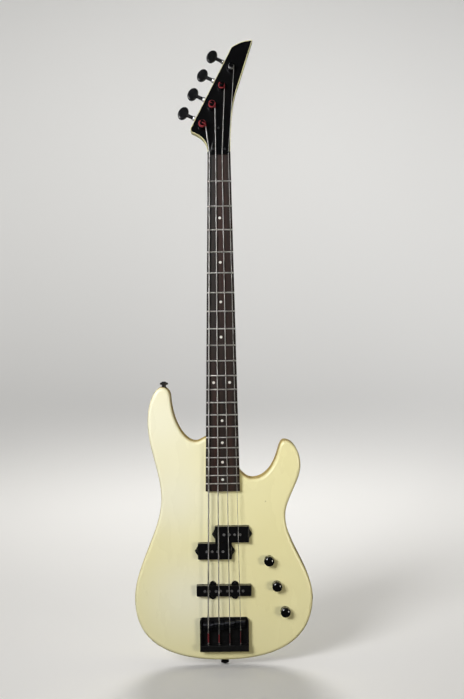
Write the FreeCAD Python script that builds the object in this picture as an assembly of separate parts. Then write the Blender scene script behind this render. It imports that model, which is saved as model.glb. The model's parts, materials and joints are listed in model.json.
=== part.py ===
import FreeCAD
import Part
import math
import os

# Four-string solid-body electric bass guitar, in millimetres.
# It is drawn lying on its back: x across (treble side positive), y along the neck from the end of
# the body, z out of the face from mid-thickness. save() stands it up: y becomes +Z, the face -Y.

V = FreeCAD.Vector

# Fits shared by all pieces, and how far a cutting shape runs past what it cuts
running_fit = 0.05
sliding_gap = 0.30
screw_fit = 0.05
seat_fit = 0.10
overrun = 1.0

# Scale, frets and strings; saddle_line is where the scale ends, up from the end of the body
scale_length = 863.6
fret_count = 21
saddle_line = 77.4
nut_width = 42.0
nut_thickness = 5.0
nut_string_pitch = 11.6
saddle_string_pitch = 20.0
nut_action = 0.6
saddle_action = 3.8
string_order = ["e", "a", "d", "g"]
string_diameters = {"e": 2.67, "a": 2.16, "d": 1.65, "g": 1.14}
saddle_setback = {"e": 8.0, "a": 6.2, "d": 4.4, "g": 2.6}
string_turns = {"e": 2.0, "a": 2.25, "d": 2.5, "g": 3.0}
string_bend = 6.0
nut_bend_setback = 1.5
turn_gap = 1.1

# Fretboard
board_end_width = 64.0
board_thickness = 6.0
board_radius = 305.0
board_above_face = 9.5
fret_width = 2.4
fret_height = 1.2
tang_width = 0.6
tang_depth = 2.0
fret_inset = 0.4
dot_radius = 2.5
dot_depth = 2.0
double_dot_spread = 29.5
side_dot_radius = 1.0
side_dot_depth = 1.6
dotted_frets = [3, 5, 7, 9, 12, 15, 17, 19, 21]
double_dot_fret = 12

# Body slab; a _y is measured from the end of the body, a _rise from the end of the fretboard
body_thickness = 42.0
edge_round = 6.0
bout_bass = 167.1
bout_bass_y = 116.0
bout_treble = 166.0
bout_treble_y = 118.0
waist_bass = 115.3
waist_bass_y = 306.0
waist_treble = 116.0
waist_treble_y = 270.0
horn_bass = 139.1
horn_bass_rise = 127.3
horn_treble = 145.2
horn_treble_rise = 46.3
tip_bass = 111.2
tip_bass_rise = 193.4
tip_treble = 116.3
tip_treble_rise = 91.8
inner_bass = 95.8
inner_bass_rise = 174.3
inner_treble = 102.6
inner_treble_rise = 70.3
cutaway_bass = 49.6
cutaway_bass_rise = 91.2
cutaway_treble = 54.6
cutaway_treble_rise = 20.6
heel_bass = 27.2
heel_bass_rise = 99.5
inner_bass_turn = -87.0
inner_treble_turn = 74.0
end_fullness = 0.67
bout_fullness = 0.65
tip_fullness = 0.55
cutaway_fullness = 0.5
wave_fullness = 1 / 3

# Neck
pocket_depth = 16.0
heel_length = 112.0
neck_depth_nut = 14.5
neck_depth_body = 16.8
neck_roundness = 2.3
heel_squareness = 6.0
heel_ramp = 55.0
heel_ramp_middle = 25.0
volute_length = 34.0
volute_middle = 13.5
volute_swell = 0.2
volute_squareness = 2.7
foot_squareness = 4.2
carve_allowance = 1.0

# Headstock, measured up from the nut along its own face
head_tilt = 10.0
head_thickness = 15.0
head_start = 10.0
head_edge_angle = 26.15
head_edge_length = 180.2
head_corner_x = -54.41
head_corner_y = 42.13
head_shoulder = 6.6
head_sweep_out = 19.5
head_sweep_rise = 22.1
head_flank_rise = 50.0
head_flank_fall = 25.0
head_tip_x = 64.1
head_tip_y = 217.7
head_crown_rise = 3.0
head_throat_x = 32.1
head_throat_y = 116.2
head_corner_round = 6.2
head_peak_round = 3.0
head_border = 0.8
overlay_thickness = 0.8

# Truss rod and its cover
rod_radius = 2.6
rod_depth = 7.5
rod_nut_radius = 3.4
rod_nut_length = 9.0
rod_nut_start = 4.0
rod_stop = 22.0
trench_width = 8.0
trench_length = 42.0
cover_base = 32.0
cover_top = 10.0
cover_length = 50.0
cover_thickness = 2.4
cover_bevel = 1.2
cover_gap = 1.0
cover_screw_inset = 5.0

# Tuners
post_pitch = 41.2
post_from_corner = 20.0
post_from_edge = 17.2
post_radius = 5.0
post_waist = 4.2
post_collar = 5.9
post_collar_top = 3.4
post_waist_top = 14.2
post_flare = 0.6
post_cap = 4.8
post_top = 16.6
post_chamfer = 0.8
post_slot = 3.0
post_slot_depth = 6.0
post_pivot = 2.4
bushing_radius = 7.0
bushing_flange = 9.2
bushing_flange_height = 1.6
bushing_bevel = 0.8
bushing_length = 9.0
gear_teeth = 20
gear_radius = 8.0
gear_thickness = 4.0
tooth_addendum = 0.75
tooth_dedendum = 0.95
tooth_share = 0.36
tooth_flank = 20.0
worm_radius = 3.4
worm_turns = 5.0
worm_shaft = 2.4
housing_wall = 1.5
housing_bearing = 3.0
housing_back = 2.4
housing_room = 0.5
housing_round = 3.0
lug_radius = 3.8
lug_thickness = 2.0
lug_clearance = 1.05
lug_spread = 18.0
key_collar = 4.4
key_collar_gap = 4.4
key_collar_length = 3.5
key_collar_taper = 2.0
key_neck = 3.4
key_stem = 24.4
key_half_length = 9.5
key_half_width = 13.0
key_thickness = 6.4
key_round = 2.6

# Split pickup, bar pickup and what is under them
pickup_height = 11.0
pickup_wall = 1.3
pickup_round = 1.2
pickup_corner = 2.0
pickup_skirt = 5.0
pickup_gap = 0.5
pickup_cavity_depth = 19.0
split_width = 63.4
split_length = 30.2
split_offset_x = 16.1
split_treble_y = 239.1
split_bass_y = 207.7
split_pole_pitch = 10.0
split_ear_point = 6.45
split_ear_base = 19.0
split_ear_round = 4.0
split_ear_height = 3.2
bar_width = 102.0
bar_length = 20.5
bar_y = 133.6
bar_pole_pair = 8.2
bar_pole_pitch = 21.0
bar_ear_radius = 6.75
bar_ear_spread = 41.3
bar_ear_offset = 10.2
bar_ear_height = 3.6
pole_radius = 2.4
pole_proud = 0.5
pole_length = 17.0
coil_gap = 0.3
coil_drop = 4.0
foam_inset = 9.0

# Bridge
bridge_length = 61.2
bridge_front_margin = 4.6
bridge_side_gap = 2.6
bridge_base_thickness = 2.5
bridge_wall = 3.0
bridge_wall_height = 10.0
bridge_rear_thickness = 11.4
bridge_rear_height = 15.5
bridge_corner = 6.0
bridge_edge = 0.9
bridge_screw_setback = 5.0
saddle_side_gap = 0.7
saddle_front = 3.5
saddle_nose = 1.75
saddle_rear = 10.5
saddle_bottom_gap = 0.9
saddle_lip = 0.8
saddle_drop = 4.2
saddle_travel_back = 3.0
length_screw_height = 6.2
length_screw_radius = 1.5
length_screw_stop = 6.4
length_screw_head = 2.4
length_screw_head_length = 2.6
length_screw_head_bevel = 0.6
length_screw_slot = 1.3
height_screw_radius = 1.5
height_screw_spread = 12.4
height_screw_setback = 2.0
height_screw_socket = 0.75
string_hole_height = 11.0
string_hole_fit = 0.25
ball_radius = 2.5
ball_length = 4.6
ball_edge = 1.0
ball_seat = 2.0
spring_radius = 2.2
spring_wire = 0.7
spring_curls = 11
spring_end_gap = 0.1

# Controls
knob_names = ["volume_p", "volume_j", "tone"]
knob_places = [(84.7, 188.3), (99.0, 140.6), (114.2, 92.4)]
knob_radius = 9.3
knob_top_radius = 9.15
knob_waist = 9.0
knob_foot = 1.2
knob_height = 15.5
knob_dome = 2.6
knob_lift = 0.6
pot_shaft_radius = 3.0
pot_shaft_grip = 10.0
pot_bushing_radius = 4.7
pot_nut_radius = 6.6
pot_nut_height = 2.2
pot_washer_height = 0.6
pot_body_radius = 8.4
pot_body_height = 8.0
cavity_roof = 6.0
cavity_radius = 17.0
cover_rim = 4.0
control_cover_thickness = 2.0
control_cover_gap = 0.2
capacitor_radius = 3.2
capacitor_length = 11.0

# Jack on the treble edge
jack_y = 113.0
jack_recess = 4.0
jack_plate_radius = 12.0
jack_plate_thickness = 2.0
jack_bore = 3.25
jack_sleeve = 4.7
jack_sleeve_proud = 1.2
jack_nut_radius = 6.8
jack_nut_height = 2.2
jack_body_radius = 8.0
jack_body_length = 22.0
jack_end_wall = 2.0
jack_well_radius = 10.0

# Strap buttons and fasteners; a screw's rim, shoulder, crown and slot are shares of its head, its
# point and taper of its shank
button_base = 5.6
button_waist = 4.0
button_head = 7.6
button_base_height = 2.0
button_waist_height = 5.0
button_head_height = 3.6
button_base_rim = 1.2
button_flare = 1.6
button_edge = 1.0
button_top = 4.6
button_screw_radius = 2.0
button_screw_head = 4.5
button_screw_head_height = 1.6
button_screw_length = 26.0
horn_seat_depth = 2.0
horn_button_inset = 2.5
neck_screw_offsets = [(-20.0, 18.3), (20.0, 18.3), (-20.0, 74.3), (9.0, 45.3)]
neck_screw_radius = 2.4
neck_screw_bite = 13.0
cup_radius = 7.0
cup_thickness = 4.0
neck_screw_head = 4.4
neck_screw_head_height = 2.6
small_screw_radius = 1.2
small_screw_head = 2.3
small_screw_head_height = 1.1
small_screw_length = 9.0
bridge_screw_radius = 1.8
bridge_screw_head = 3.2
bridge_screw_head_height = 1.6
bridge_screw_length = 18.0
screw_rim = 0.35
screw_shoulder = 0.8
screw_crown = 0.5
screw_slot_depth = 0.7
screw_point = 0.5
screw_taper = 1.2

# Wiring
lead_radius = 1.0
lead_bend = 3.0
channel_radius = 3.5
channel_gap = 0.5

# Levels and widths that follow from the sizes above
end_to_nut = saddle_line + scale_length
face = body_thickness / 2
board_top = face + board_above_face
board_base = board_top - board_thickness
fret_top = board_top + fret_height
heel_floor = face - pocket_depth
heel_depth = board_base - heel_floor
head_foot = end_to_nut + nut_thickness
tilt = math.radians(head_tilt)
bridge_top = face + bridge_base_thickness
bridge_front = saddle_line + bridge_front_margin
bridge_rear = bridge_front - bridge_length
bridge_width = len(string_order) * saddle_string_pitch + 2 * (bridge_wall + bridge_side_gap)
saddle_width = saddle_string_pitch - 2 * saddle_side_gap
length_screw_reach = saddle_line - length_screw_stop - bridge_rear
rear_wall = bridge_rear + bridge_rear_thickness
screw_axis = face + length_screw_height
string_hole = face + string_hole_height
pickup_top = face + pickup_height
cavity_floor = face - pickup_cavity_depth
channel_height = cavity_floor + channel_radius + channel_gap
coil_base = face - pickup_skirt - coil_drop
cavity_top = face - cavity_roof
gear_level = -head_thickness - housing_room - gear_thickness / 2 - tooth_addendum - worm_radius / 2
gear_pitch = 2 * math.pi * gear_radius / gear_teeth
worm_offset = gear_radius + worm_radius
housing_half_length = gear_radius + tooth_addendum + housing_room + housing_bearing
housing_floor = gear_level - worm_radius - tooth_addendum - housing_room
lug_reach = housing_half_length + small_screw_head + lug_clearance
key_collar_start = post_from_edge + key_collar_gap
key_centre = key_collar_start + key_stem

parts = {}
joint_axes = {}


def add(node, *solids):
    parts.setdefault(node, []).extend(solids)


# Plain shapes
def box(x0, x1, y0, y1, z0, z1):
    return Part.makeBox(x1 - x0, y1 - y0, z1 - z0, V(x0, y0, z0))


def rod(x, y, radius, z0, z1):
    return Part.makeCylinder(radius, z1 - z0, V(x, y, z0))


def rod_along(start, end, radius):
    return Part.makeCylinder(radius, (end - start).Length, start, end - start)


def polygon(points):
    corners = [V(x, y, 0) for x, y in points]
    return Part.makePolygon(corners + corners[:1])


def prism(wire, z0, z1):
    solid = Part.Face(wire).extrude(V(0, 0, z1 - z0))
    solid.translate(V(0, 0, z0))
    return solid


def hexagon(radius):
    turns = [i * math.pi / 3 for i in range(6)]
    return polygon([(radius * math.cos(turn), radius * math.sin(turn)) for turn in turns])


def rounded_plate(width, length, corner, z0, z1):
    plate = box(-width / 2, width / 2, -length / 2, length / 2, z0, z1)
    upright = [e for e in plate.Edges if e.BoundBox.ZLength > (z1 - z0) / 2]
    return plate.makeFillet(corner, upright)


def capsule(start, end, radius, z0, z1):
    along = V(end[0] - start[0], end[1] - start[1], 0)
    bar = Part.makeBox(along.Length, 2 * radius, z1 - z0, V(0, -radius, 0))
    bar.rotate(V(0, 0, 0), V(0, 0, 1), math.degrees(math.atan2(along.y, along.x)))
    bar.translate(V(start[0], start[1], z0))
    ends = [rod(start[0], start[1], radius, z0, z1), rod(end[0], end[1], radius, z0, z1)]
    return bar.fuse(ends).removeSplitter()


def turned(start, *moves):
    # A profile of (radius, height) points turned about z; a move of four numbers is an arc through
    # its first pair.
    here = V(start[0], 0, start[1])
    edges = []
    for move in moves + (start,):
        there = V(move[-2], 0, move[-1])
        if len(move) == 4:
            edges.append(Part.Arc(here, V(move[0], 0, move[1]), there).toShape())
        else:
            edges.append(Part.makeLine(here, there))
        here = there
    return Part.Face(Part.Wire(edges)).revolve(V(0, 0, 0), V(0, 0, 1), 360)


def dome(radius, base, rise):
    # The closing move of a profile: a ball's cap from a rim to the axis.
    ball = (radius ** 2 + rise ** 2) / (2 * rise)
    half_way = base + rise - ball + math.sqrt(ball ** 2 - radius ** 2 / 4)
    return radius / 2, half_way, 0, base + rise


def placed(shape, x=0.0, y=0.0, z=0.0):
    copy = shape.copy()
    copy.translate(V(x, y, z))
    return copy


def turned_to(shape, axis, angle):
    copy = shape.copy()
    copy.rotate(V(0, 0, 0), axis, angle)
    return copy


def cross_slot(size, depth, z):
    width = size / 4
    bar = box(-size / 2, size / 2, -width / 2, width / 2, z - depth, z)
    return bar.fuse(turned_to(bar, V(0, 0, 1), 90))


def pan_screw(head, head_height, shank, length):
    # Blunt-ended: head on z = 0, shank down.
    body = turned((0, -length), (shank, -length), (shank, 0), (head, 0), (head, head_height * screw_rim),
                  (head * screw_shoulder, head_height * screw_shoulder),
                  (head * screw_crown, head_height), (0, head_height))
    return body.cut(cross_slot(head * screw_shoulder, head_height * screw_slot_depth, head_height))


def flat_screw(head, head_height, shank, length):
    # Countersunk and pointed: the flat head's top on z = 0.
    body = turned((0, -length), (shank * screw_point, -length), (shank, -length + shank * screw_taper),
                  (shank, -head_height), (head, 0), (0, 0))
    return body.cut(cross_slot(head * screw_shoulder, head_height * screw_slot_depth, 0))


def countersink(head, head_height, shank, length):
    return turned((0, -length), (shank + screw_fit, -length), (shank + screw_fit, -head_height),
                  (head + screw_fit, 0), (0, 0))


small_screw = pan_screw(small_screw_head, small_screw_head_height, small_screw_radius, small_screw_length)
small_pilot = rod(0, 0, small_screw_radius + screw_fit, -small_screw_length - screw_fit, 0)


# Tubes that bend and wind
def arc_edge(start, heading, end):
    chord = end - start
    side = chord - heading * chord.dot(heading)
    if side.Length < 1e-7:
        return Part.makeLine(start, end)
    side.normalize()
    centre = start + side * (chord.Length ** 2 / (2 * chord.dot(side)))
    radius = (start - centre).Length
    outward = (start - centre) + (end - centre)
    outward.normalize()
    return Part.Arc(start, centre + outward * radius, end).toShape()


def biarc(start, heading, end, last_heading):
    chord = end - start
    total = heading + last_heading
    spread = 2 * (1 - heading.dot(last_heading))
    reach = chord.dot(total)
    if spread < 1e-9:
        span = chord.dot(chord) / (4 * chord.dot(last_heading))
    else:
        span = (math.sqrt(reach ** 2 + spread * chord.dot(chord)) - reach) / spread
    middle = (start + end + (heading - last_heading) * span) * 0.5
    first = arc_edge(start, heading, middle)
    last = arc_edge(end, last_heading * -1, middle)
    return [first, Part.Arc(middle, last.valueAt(sum(last.ParameterRange) / 2), end).toShape()]


def winding_edges(stations):
    edges = []
    for (start, heading), (end, last_heading) in zip(stations, stations[1:]):
        edges += biarc(start, heading, end, last_heading)
    return edges


def bent_edges(points, bend):
    # Straight runs joined by tangent arcs of one radius.
    edges = []
    here = points[0]
    for before, corner, after in zip(points, points[1:], points[2:]):
        into = (corner - before).normalize()
        out = (after - corner).normalize()
        cut = bend * math.tan(into.getAngle(out) / 2)
        start = corner - into * cut
        end = corner + out * cut
        edges.append(Part.makeLine(here, start))
        edges.append(arc_edge(start, into, end))
        here = end
    edges.append(Part.makeLine(here, points[-1]))
    return edges


def tube(edges, radius):
    first = edges[0]
    start = first.valueAt(first.FirstParameter)
    ring = Part.Wire(Part.makeCircle(radius, start, first.tangentAt(first.FirstParameter)))
    return Part.Wire(edges).makePipeShell([ring], True, False)


def self_gap(edges, radius):
    # Least clear space between stretches of a tube more than half a turn apart along it.
    step = radius / 2
    points = []
    for edge in edges:
        count = max(2, int(edge.Length / step))
        points += edge.discretize(count)[:-1]
    apart = int(math.pi * 4 * radius / step)
    least = min(points[i].distanceToPoint(q) for j, q in enumerate(points) for i in range(j - apart))
    return least - 2 * radius


# Neck, frets and string lines
def fret_y(number):
    return end_to_nut - scale_length * (1 - 2 ** (-number / 12))


board_end = fret_y(fret_count + 1)


def half_width(y):
    share = (end_to_nut - y) / (end_to_nut - board_end)
    return (nut_width + (board_end_width - nut_width) * share) / 2


def crown_drop(x):
    return board_radius - math.sqrt(board_radius ** 2 - x ** 2)


def taper(y0, y1, margin, z0, z1):
    # The neck's plan between two heights, wider by a margin on each side.
    a = half_width(y0) + margin
    b = half_width(y1) + margin
    return prism(polygon([(-a, y0), (a, y0), (b, y1), (-b, y1)]), z0, z1)


def head_point(x, y, z):
    return V(x, head_foot + y * math.cos(tilt) + z * math.sin(tilt),
             board_base - y * math.sin(tilt) + z * math.cos(tilt))


def head_local(point):
    y = point.y - head_foot
    z = point.z - board_base
    return V(point.x, y * math.cos(tilt) - z * math.sin(tilt), y * math.sin(tilt) + z * math.cos(tilt))


def on_head(shape):
    copy = placed(shape, 0, head_foot, board_base)
    copy.rotate(V(0, head_foot, board_base), V(1, 0, 0), -head_tilt)
    return copy


edge_heading = (math.sin(math.radians(head_edge_angle)), math.cos(math.radians(head_edge_angle)))
edge_inward = (edge_heading[1], -edge_heading[0])


def post_place(index):
    along = post_from_corner + index * post_pitch
    x = head_corner_x + edge_heading[0] * along + edge_inward[0] * post_from_edge
    y = head_corner_y + edge_heading[1] * along + edge_inward[1] * post_from_edge
    return x, y


def on_post(shape, index):
    # Tuner frame: x out along the key shaft, z out of the headstock's face, origin on the post.
    x, y = post_place(index)
    return on_head(placed(turned_to(shape, V(0, 0, 1), 180 - head_edge_angle), x, y))


def tuner_vector(x, y, z):
    turn = math.radians(180 - head_edge_angle)
    flat = V(x * math.cos(turn) - y * math.sin(turn), x * math.sin(turn) + y * math.cos(turn), z)
    return V(flat.x, flat.y * math.cos(tilt) + flat.z * math.sin(tilt),
             -flat.y * math.sin(tilt) + flat.z * math.cos(tilt))


def tuner_point(index, x, y, z):
    place = post_place(index)
    return head_point(place[0], place[1], 0) + tuner_vector(x, y, z)


def string_radius(name):
    return string_diameters[name] / 2


def string_x(name, pitch):
    return (string_order.index(name) - (len(string_order) - 1) / 2) * pitch


def saddle_y(name):
    return end_to_nut - scale_length - saddle_setback[name]


def string_level(name, pitch, action):
    return fret_top + action - crown_drop(string_x(name, pitch)) + string_radius(name)


def nut_point(name):
    return V(string_x(name, nut_string_pitch), end_to_nut + nut_bend_setback,
             string_level(name, nut_string_pitch, nut_action))


def saddle_point(name):
    # The string stays straight past the saddle's crest for as far as the saddle can travel back.
    return V(string_x(name, saddle_string_pitch), saddle_y(name) - saddle_travel_back,
             string_level(name, saddle_string_pitch, saddle_action))


def meeting(point_a, heading_a, point_b, heading_b):
    # Where two lines in the headstock's face cross.
    apart = point_b - point_a
    cross = heading_a.x * heading_b.y - heading_a.y * heading_b.x
    reach = (apart.x * heading_b.y - apart.y * heading_b.x) / cross
    return point_a + heading_a * reach


def leftward(heading):
    return V(-heading.y, heading.x, 0)


def head_outline(inset=0.0):
    # Counter-clockwise from the nut: treble flank, tip, crown, tuner edge, shoulder. An inset draws
    # the same outline that far inside.
    corner = V(head_corner_x, head_corner_y, 0)
    along = V(edge_heading[0], edge_heading[1], 0)
    out = leftward(along)
    peak = corner + along * head_edge_length
    tip = V(head_tip_x, head_tip_y, 0)
    throat = V(head_throat_x, head_throat_y, 0)
    lean = (tip - throat).normalize()
    crown = (peak - tip).normalize()
    flank_shift = leftward(lean) * inset
    crown_shift = leftward(crown) * inset
    edge_shift = leftward(along * -1) * inset
    foot_shift = leftward(out * -1) * inset
    right = V(nut_width / 2 - inset, inset, 0)
    left = V(-nut_width / 2 + inset, inset, 0)
    low_throat = throat + flank_shift
    shoulder = corner - out * head_shoulder + foot_shift
    points = [meeting(tip + flank_shift, lean, tip + crown_shift, crown),
              meeting(peak + crown_shift, crown, peak + edge_shift, along),
              meeting(corner + edge_shift, along, corner + foot_shift, out)]
    crest = (points[0] + points[1]) * 0.5 - leftward(crown) * head_crown_rise
    flank = Part.BezierCurve()
    low_pole = right + V(0, head_flank_rise, 0)
    flank.setPoles([right, low_pole, low_throat - lean * head_flank_fall, low_throat])
    sweep = Part.BezierCurve()
    sweep.setPoles([shoulder, shoulder - out * head_sweep_out, left + V(0, head_sweep_rise, 0), left])
    return Part.Wire([
        flank.toShape(),
        Part.makeLine(low_throat, points[0]),
        Part.Arc(points[0], crest, points[1]).toShape(),
        Part.makeLine(points[1], points[2]),
        Part.makeLine(points[2], shoulder),
        sweep.toShape(),
        Part.makeLine(left, right),
    ])


def make_head_plate():
    plate = prism(head_outline(), -head_thickness, 0)
    span = 2 * head_edge_length
    plate = plate.common(box(-span, span, head_start, 2 * span, -2 * head_thickness, head_thickness))
    return round_head(plate)


def round_head(plate, inset=0.0):
    # The two corners of the tuner edge, rounded to the same centres at any inset.
    corner = V(head_corner_x, head_corner_y, 0)
    peak = corner + V(edge_heading[0], edge_heading[1], 0) * head_edge_length
    for spot, radius in ((corner, head_corner_round), (peak, head_peak_round)):
        upright = [e for e in plate.Edges if e.BoundBox.ZLength > 1e-3 and len(e.Vertexes) == 2
                   and abs(e.tangentAt(e.FirstParameter).z) > 0.999]
        nearest = min(upright, key=lambda e: V(e.CenterOfMass.x, e.CenterOfMass.y, 0).distanceToPoint(spot))
        plate = plate.makeFillet(radius - inset, [nearest])
    return plate


def make_overlay():
    return round_head(prism(head_outline(head_border), -overlay_thickness, 0), head_border)


def make_face_plate():
    hole = rod(0, 0, bushing_radius + screw_fit, -overrun, overrun)
    cuts = [placed(hole, *post_place(index)) for index in range(len(string_order))]
    cuts += [placed(small_pilot, x, y, cover_thickness) for x, y in cover_screw_places()]
    half = trench_width / 2
    cuts.append(box(-half, half, -overrun, trench_length, -overrun, overrun))
    return make_overlay().cut(cuts)


def neck_section(y, depth, squareness, lean=0.0):
    # The back of the neck as one superellipse arch under a flat top.
    wide = half_width(min(y, end_to_nut))
    top = board_base + carve_allowance
    deep = depth + carve_allowance
    count = 24
    points = []
    for i in range(count + 1):
        angle = math.pi * i / count
        across = math.cos(angle)
        down = math.sin(angle)
        reach = ((abs(across) / wide) ** squareness + (down / deep) ** squareness) ** (-1 / squareness)
        points.append(V(reach * across, y, top - reach * down))
    arch = Part.BSplineCurve()
    arch.interpolate(points)
    wire = Part.Wire([arch.toShape(), Part.makeLine(points[-1], points[0])])
    wire.rotate(V(0, head_foot, board_base), V(1, 0, 0), -lean)
    return wire


def neck_screw_places():
    return [(x, board_end + rise) for x, rise in neck_screw_offsets]


def make_neck():
    heel_top = board_end + heel_length
    shaft_end = heel_top + heel_ramp
    volute = end_to_nut - volute_length
    middle = (shaft_end + volute) / 2
    middle_depth = (neck_depth_body + neck_depth_nut) / 2
    ramp_depth = (heel_depth + neck_depth_body) / 2
    sections = [
        neck_section(heel_top, heel_depth, heel_squareness),
        neck_section(heel_top + heel_ramp_middle, ramp_depth, (heel_squareness + neck_roundness) / 2),
        neck_section(shaft_end, neck_depth_body, neck_roundness),
        neck_section(middle, middle_depth, neck_roundness),
        neck_section(volute, neck_depth_nut, neck_roundness),
        neck_section(end_to_nut - volute_middle, neck_depth_nut + volute_swell, volute_squareness),
        neck_section(head_foot, head_thickness, foot_squareness, head_tilt / 2),
        neck_section(head_foot + head_start, head_thickness, heel_squareness, head_tilt),
    ]
    shaft = Part.makeLoft(sections, True, False)
    heel = taper(board_end, heel_top, 0, heel_floor, board_base)
    neck = shaft.fuse([heel, on_head(make_head_plate())])
    span = head_edge_length
    above = box(-span, span, 0, head_foot, board_base, board_base + span)
    past = on_head(box(-span, span, -carve_allowance, 3 * span, 0, span))
    neck = neck.cut([above, past.cut(above)])
    cuts = [on_head(make_overlay())]
    room = rod_radius + screw_fit
    level = board_base - rod_depth
    trench_end = head_foot + trench_length
    channel = rod_along(V(0, board_end + rod_stop, level), V(0, trench_end, level), room)
    slot = box(-room, room, board_end + rod_stop, head_foot, level, board_base)
    trench_floor = level - rod_nut_radius - screw_fit
    trench = box(-trench_width / 2, trench_width / 2, head_foot, trench_end, trench_floor, board_base)
    cuts += [channel, slot, trench]
    bite_end = heel_floor + neck_screw_bite + screw_fit
    for x, y in neck_screw_places():
        cuts.append(rod(x, y, neck_screw_radius + screw_fit, heel_floor, bite_end))
    for index in range(len(string_order)):
        hole = rod(0, 0, bushing_radius + screw_fit, -2 * head_thickness, head_thickness)
        cuts.append(on_post(hole, index))
        for x, y in lug_places():
            pilot = turned_to(small_pilot, V(1, 0, 0), 180)
            cuts.append(on_post(placed(pilot, x, y, -head_thickness), index))
    for x, y in cover_screw_places():
        cuts.append(on_head(placed(small_pilot, x, y, cover_thickness)))
    return neck.cut(cuts).removeSplitter()


def make_board():
    blank = taper(board_end, end_to_nut, 0, board_base, board_top + overrun)
    axis = board_top - board_radius
    crown = rod_along(V(0, board_end - overrun, axis), V(0, end_to_nut + overrun, axis), board_radius)
    return blank.common(crown)


def about_crown(wire):
    # A fret's section swept across the curved board.
    swing = math.degrees(math.asin((board_end_width / 2 + overrun) / board_radius))
    axis = V(0, 0, board_top - board_radius)
    section = Part.Face(wire)
    section.rotate(axis, V(0, 1, 0), -swing)
    return section.revolve(axis, V(0, 1, 0), 2 * swing)


def fret_section(y):
    half = fret_width / 2
    tang = tang_width / 2
    low = board_top - tang_depth
    crown = Part.Arc(V(0, y - half, board_top), V(0, y, fret_top), V(0, y + half, board_top)).toShape()
    corners = [V(0, y + half, board_top), V(0, y + tang, board_top), V(0, y + tang, low), V(0, y - tang, low),
               V(0, y - tang, board_top), V(0, y - half, board_top)]
    lines = [Part.makeLine(a, b) for a, b in zip(corners, corners[1:])]
    return Part.Wire([crown] + lines)


def make_fretboard():
    board = make_board()
    frets = []
    for number in range(1, fret_count + 1):
        y = fret_y(number)
        limits = taper(y - fret_width, y + fret_width, -fret_inset, board_base, fret_top + overrun)
        frets.append(about_crown(fret_section(y)).common(limits))
    dots = []
    dot_floor = board_top - crown_drop(double_dot_spread / 2) - dot_depth
    for number in dotted_frets:
        y = (fret_y(number) + fret_y(number - 1)) / 2
        spread = double_dot_spread / 2
        across = [-spread, spread] if number == double_dot_fret else [0.0]
        for x in across:
            dots.append(board.common(rod(x, y, dot_radius, dot_floor, board_top + overrun)))
        side = half_width(y)
        level = board_base + (board_thickness - crown_drop(side)) / 2
        shift = 2 * side_dot_radius if number == double_dot_fret else 0.0
        for dy in {-shift, shift}:
            start = V(-side - overrun, y + dy, level)
            pin = rod_along(start, start + V(overrun + side_dot_depth, 0, 0), side_dot_radius)
            dots.append(board.common(pin))
    add("fretboard", board.cut(frets + dots))
    add("frets", *frets)
    add("position_dots", *dots)


def make_nut():
    string_tops = [string_level(name, nut_string_pitch, nut_action) for name in string_order]
    half = nut_width / 2
    block = box(-half, half, end_to_nut, head_foot, board_base, max(string_tops))
    crest = fret_top + nut_action + string_radius("d")
    axis = crest - board_radius
    crown = rod_along(V(0, end_to_nut - overrun, axis), V(0, head_foot + overrun, axis), board_radius)
    nut = block.common(crown)
    cuts = []
    for name in string_order:
        bend = nut_point(name)
        fit = string_radius(name) + running_fit
        cuts.append(rod_along(bend, saddle_point(name), fit))
        cuts.append(rod_along(bend, string_landing(name)[0], fit))
        cuts.append(Part.makeSphere(fit, bend))
    return nut.cut(cuts)


# Strings
def wrap_radius(name):
    return post_waist + sliding_gap + string_radius(name)


def string_landing(name):
    # Where the string's straight run touches its winding, on the post's treble side.
    index = string_order.index(name)
    x, y = post_place(index)
    start = head_local(nut_point(name))
    radius = wrap_radius(name)
    reach = math.hypot(x - start.x, y - start.y)
    heading = math.atan2(y - start.y, x - start.x) - math.asin(radius / reach)
    run = math.sqrt(reach ** 2 - radius ** 2)
    level = post_collar_top + sliding_gap + string_radius(name)
    point = head_point(start.x + run * math.cos(heading), start.y + run * math.sin(heading), level)
    return point, heading - math.pi / 2


def make_string(name):
    index = string_order.index(name)
    x, y = post_place(index)
    radius = string_radius(name)
    landing, angle = string_landing(name)
    anchor = V(string_x(name, saddle_string_pitch), rear_wall - ball_seat, string_hole)
    hole_end = anchor + V(0, ball_seat, 0)
    edges = bent_edges([anchor, hole_end, saddle_point(name), nut_point(name), landing], string_bend)
    climb = string_diameters[name] + turn_gap
    low = post_collar_top + sliding_gap + radius
    wrap = wrap_radius(name)
    stations = [(landing, (landing - nut_point(name)).normalize())]
    for quarter in range(1, int(4 * string_turns[name]) + 1):
        turn = angle + quarter * math.pi / 2
        level = low + climb * quarter / 4
        spot = head_point(x + wrap * math.cos(turn), y + wrap * math.sin(turn), level)
        ahead = head_point(x - math.sin(turn), y + math.cos(turn), climb / (2 * math.pi * wrap))
        stations.append((spot, (ahead - head_point(x, y, 0)).normalize()))
    coil = winding_edges(stations)
    end, heading = stations[-1]
    tail = Part.makeLine(end, end + heading * (2 * radius))
    lead_in = Part.makeLine(landing - stations[0][1] * (4 * wrap), landing)
    print("string_%s winding, least gap %.2f mm" % (name, self_gap([lead_in] + coil + [tail], radius)))
    return tube(edges + coil + [tail], radius)


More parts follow.
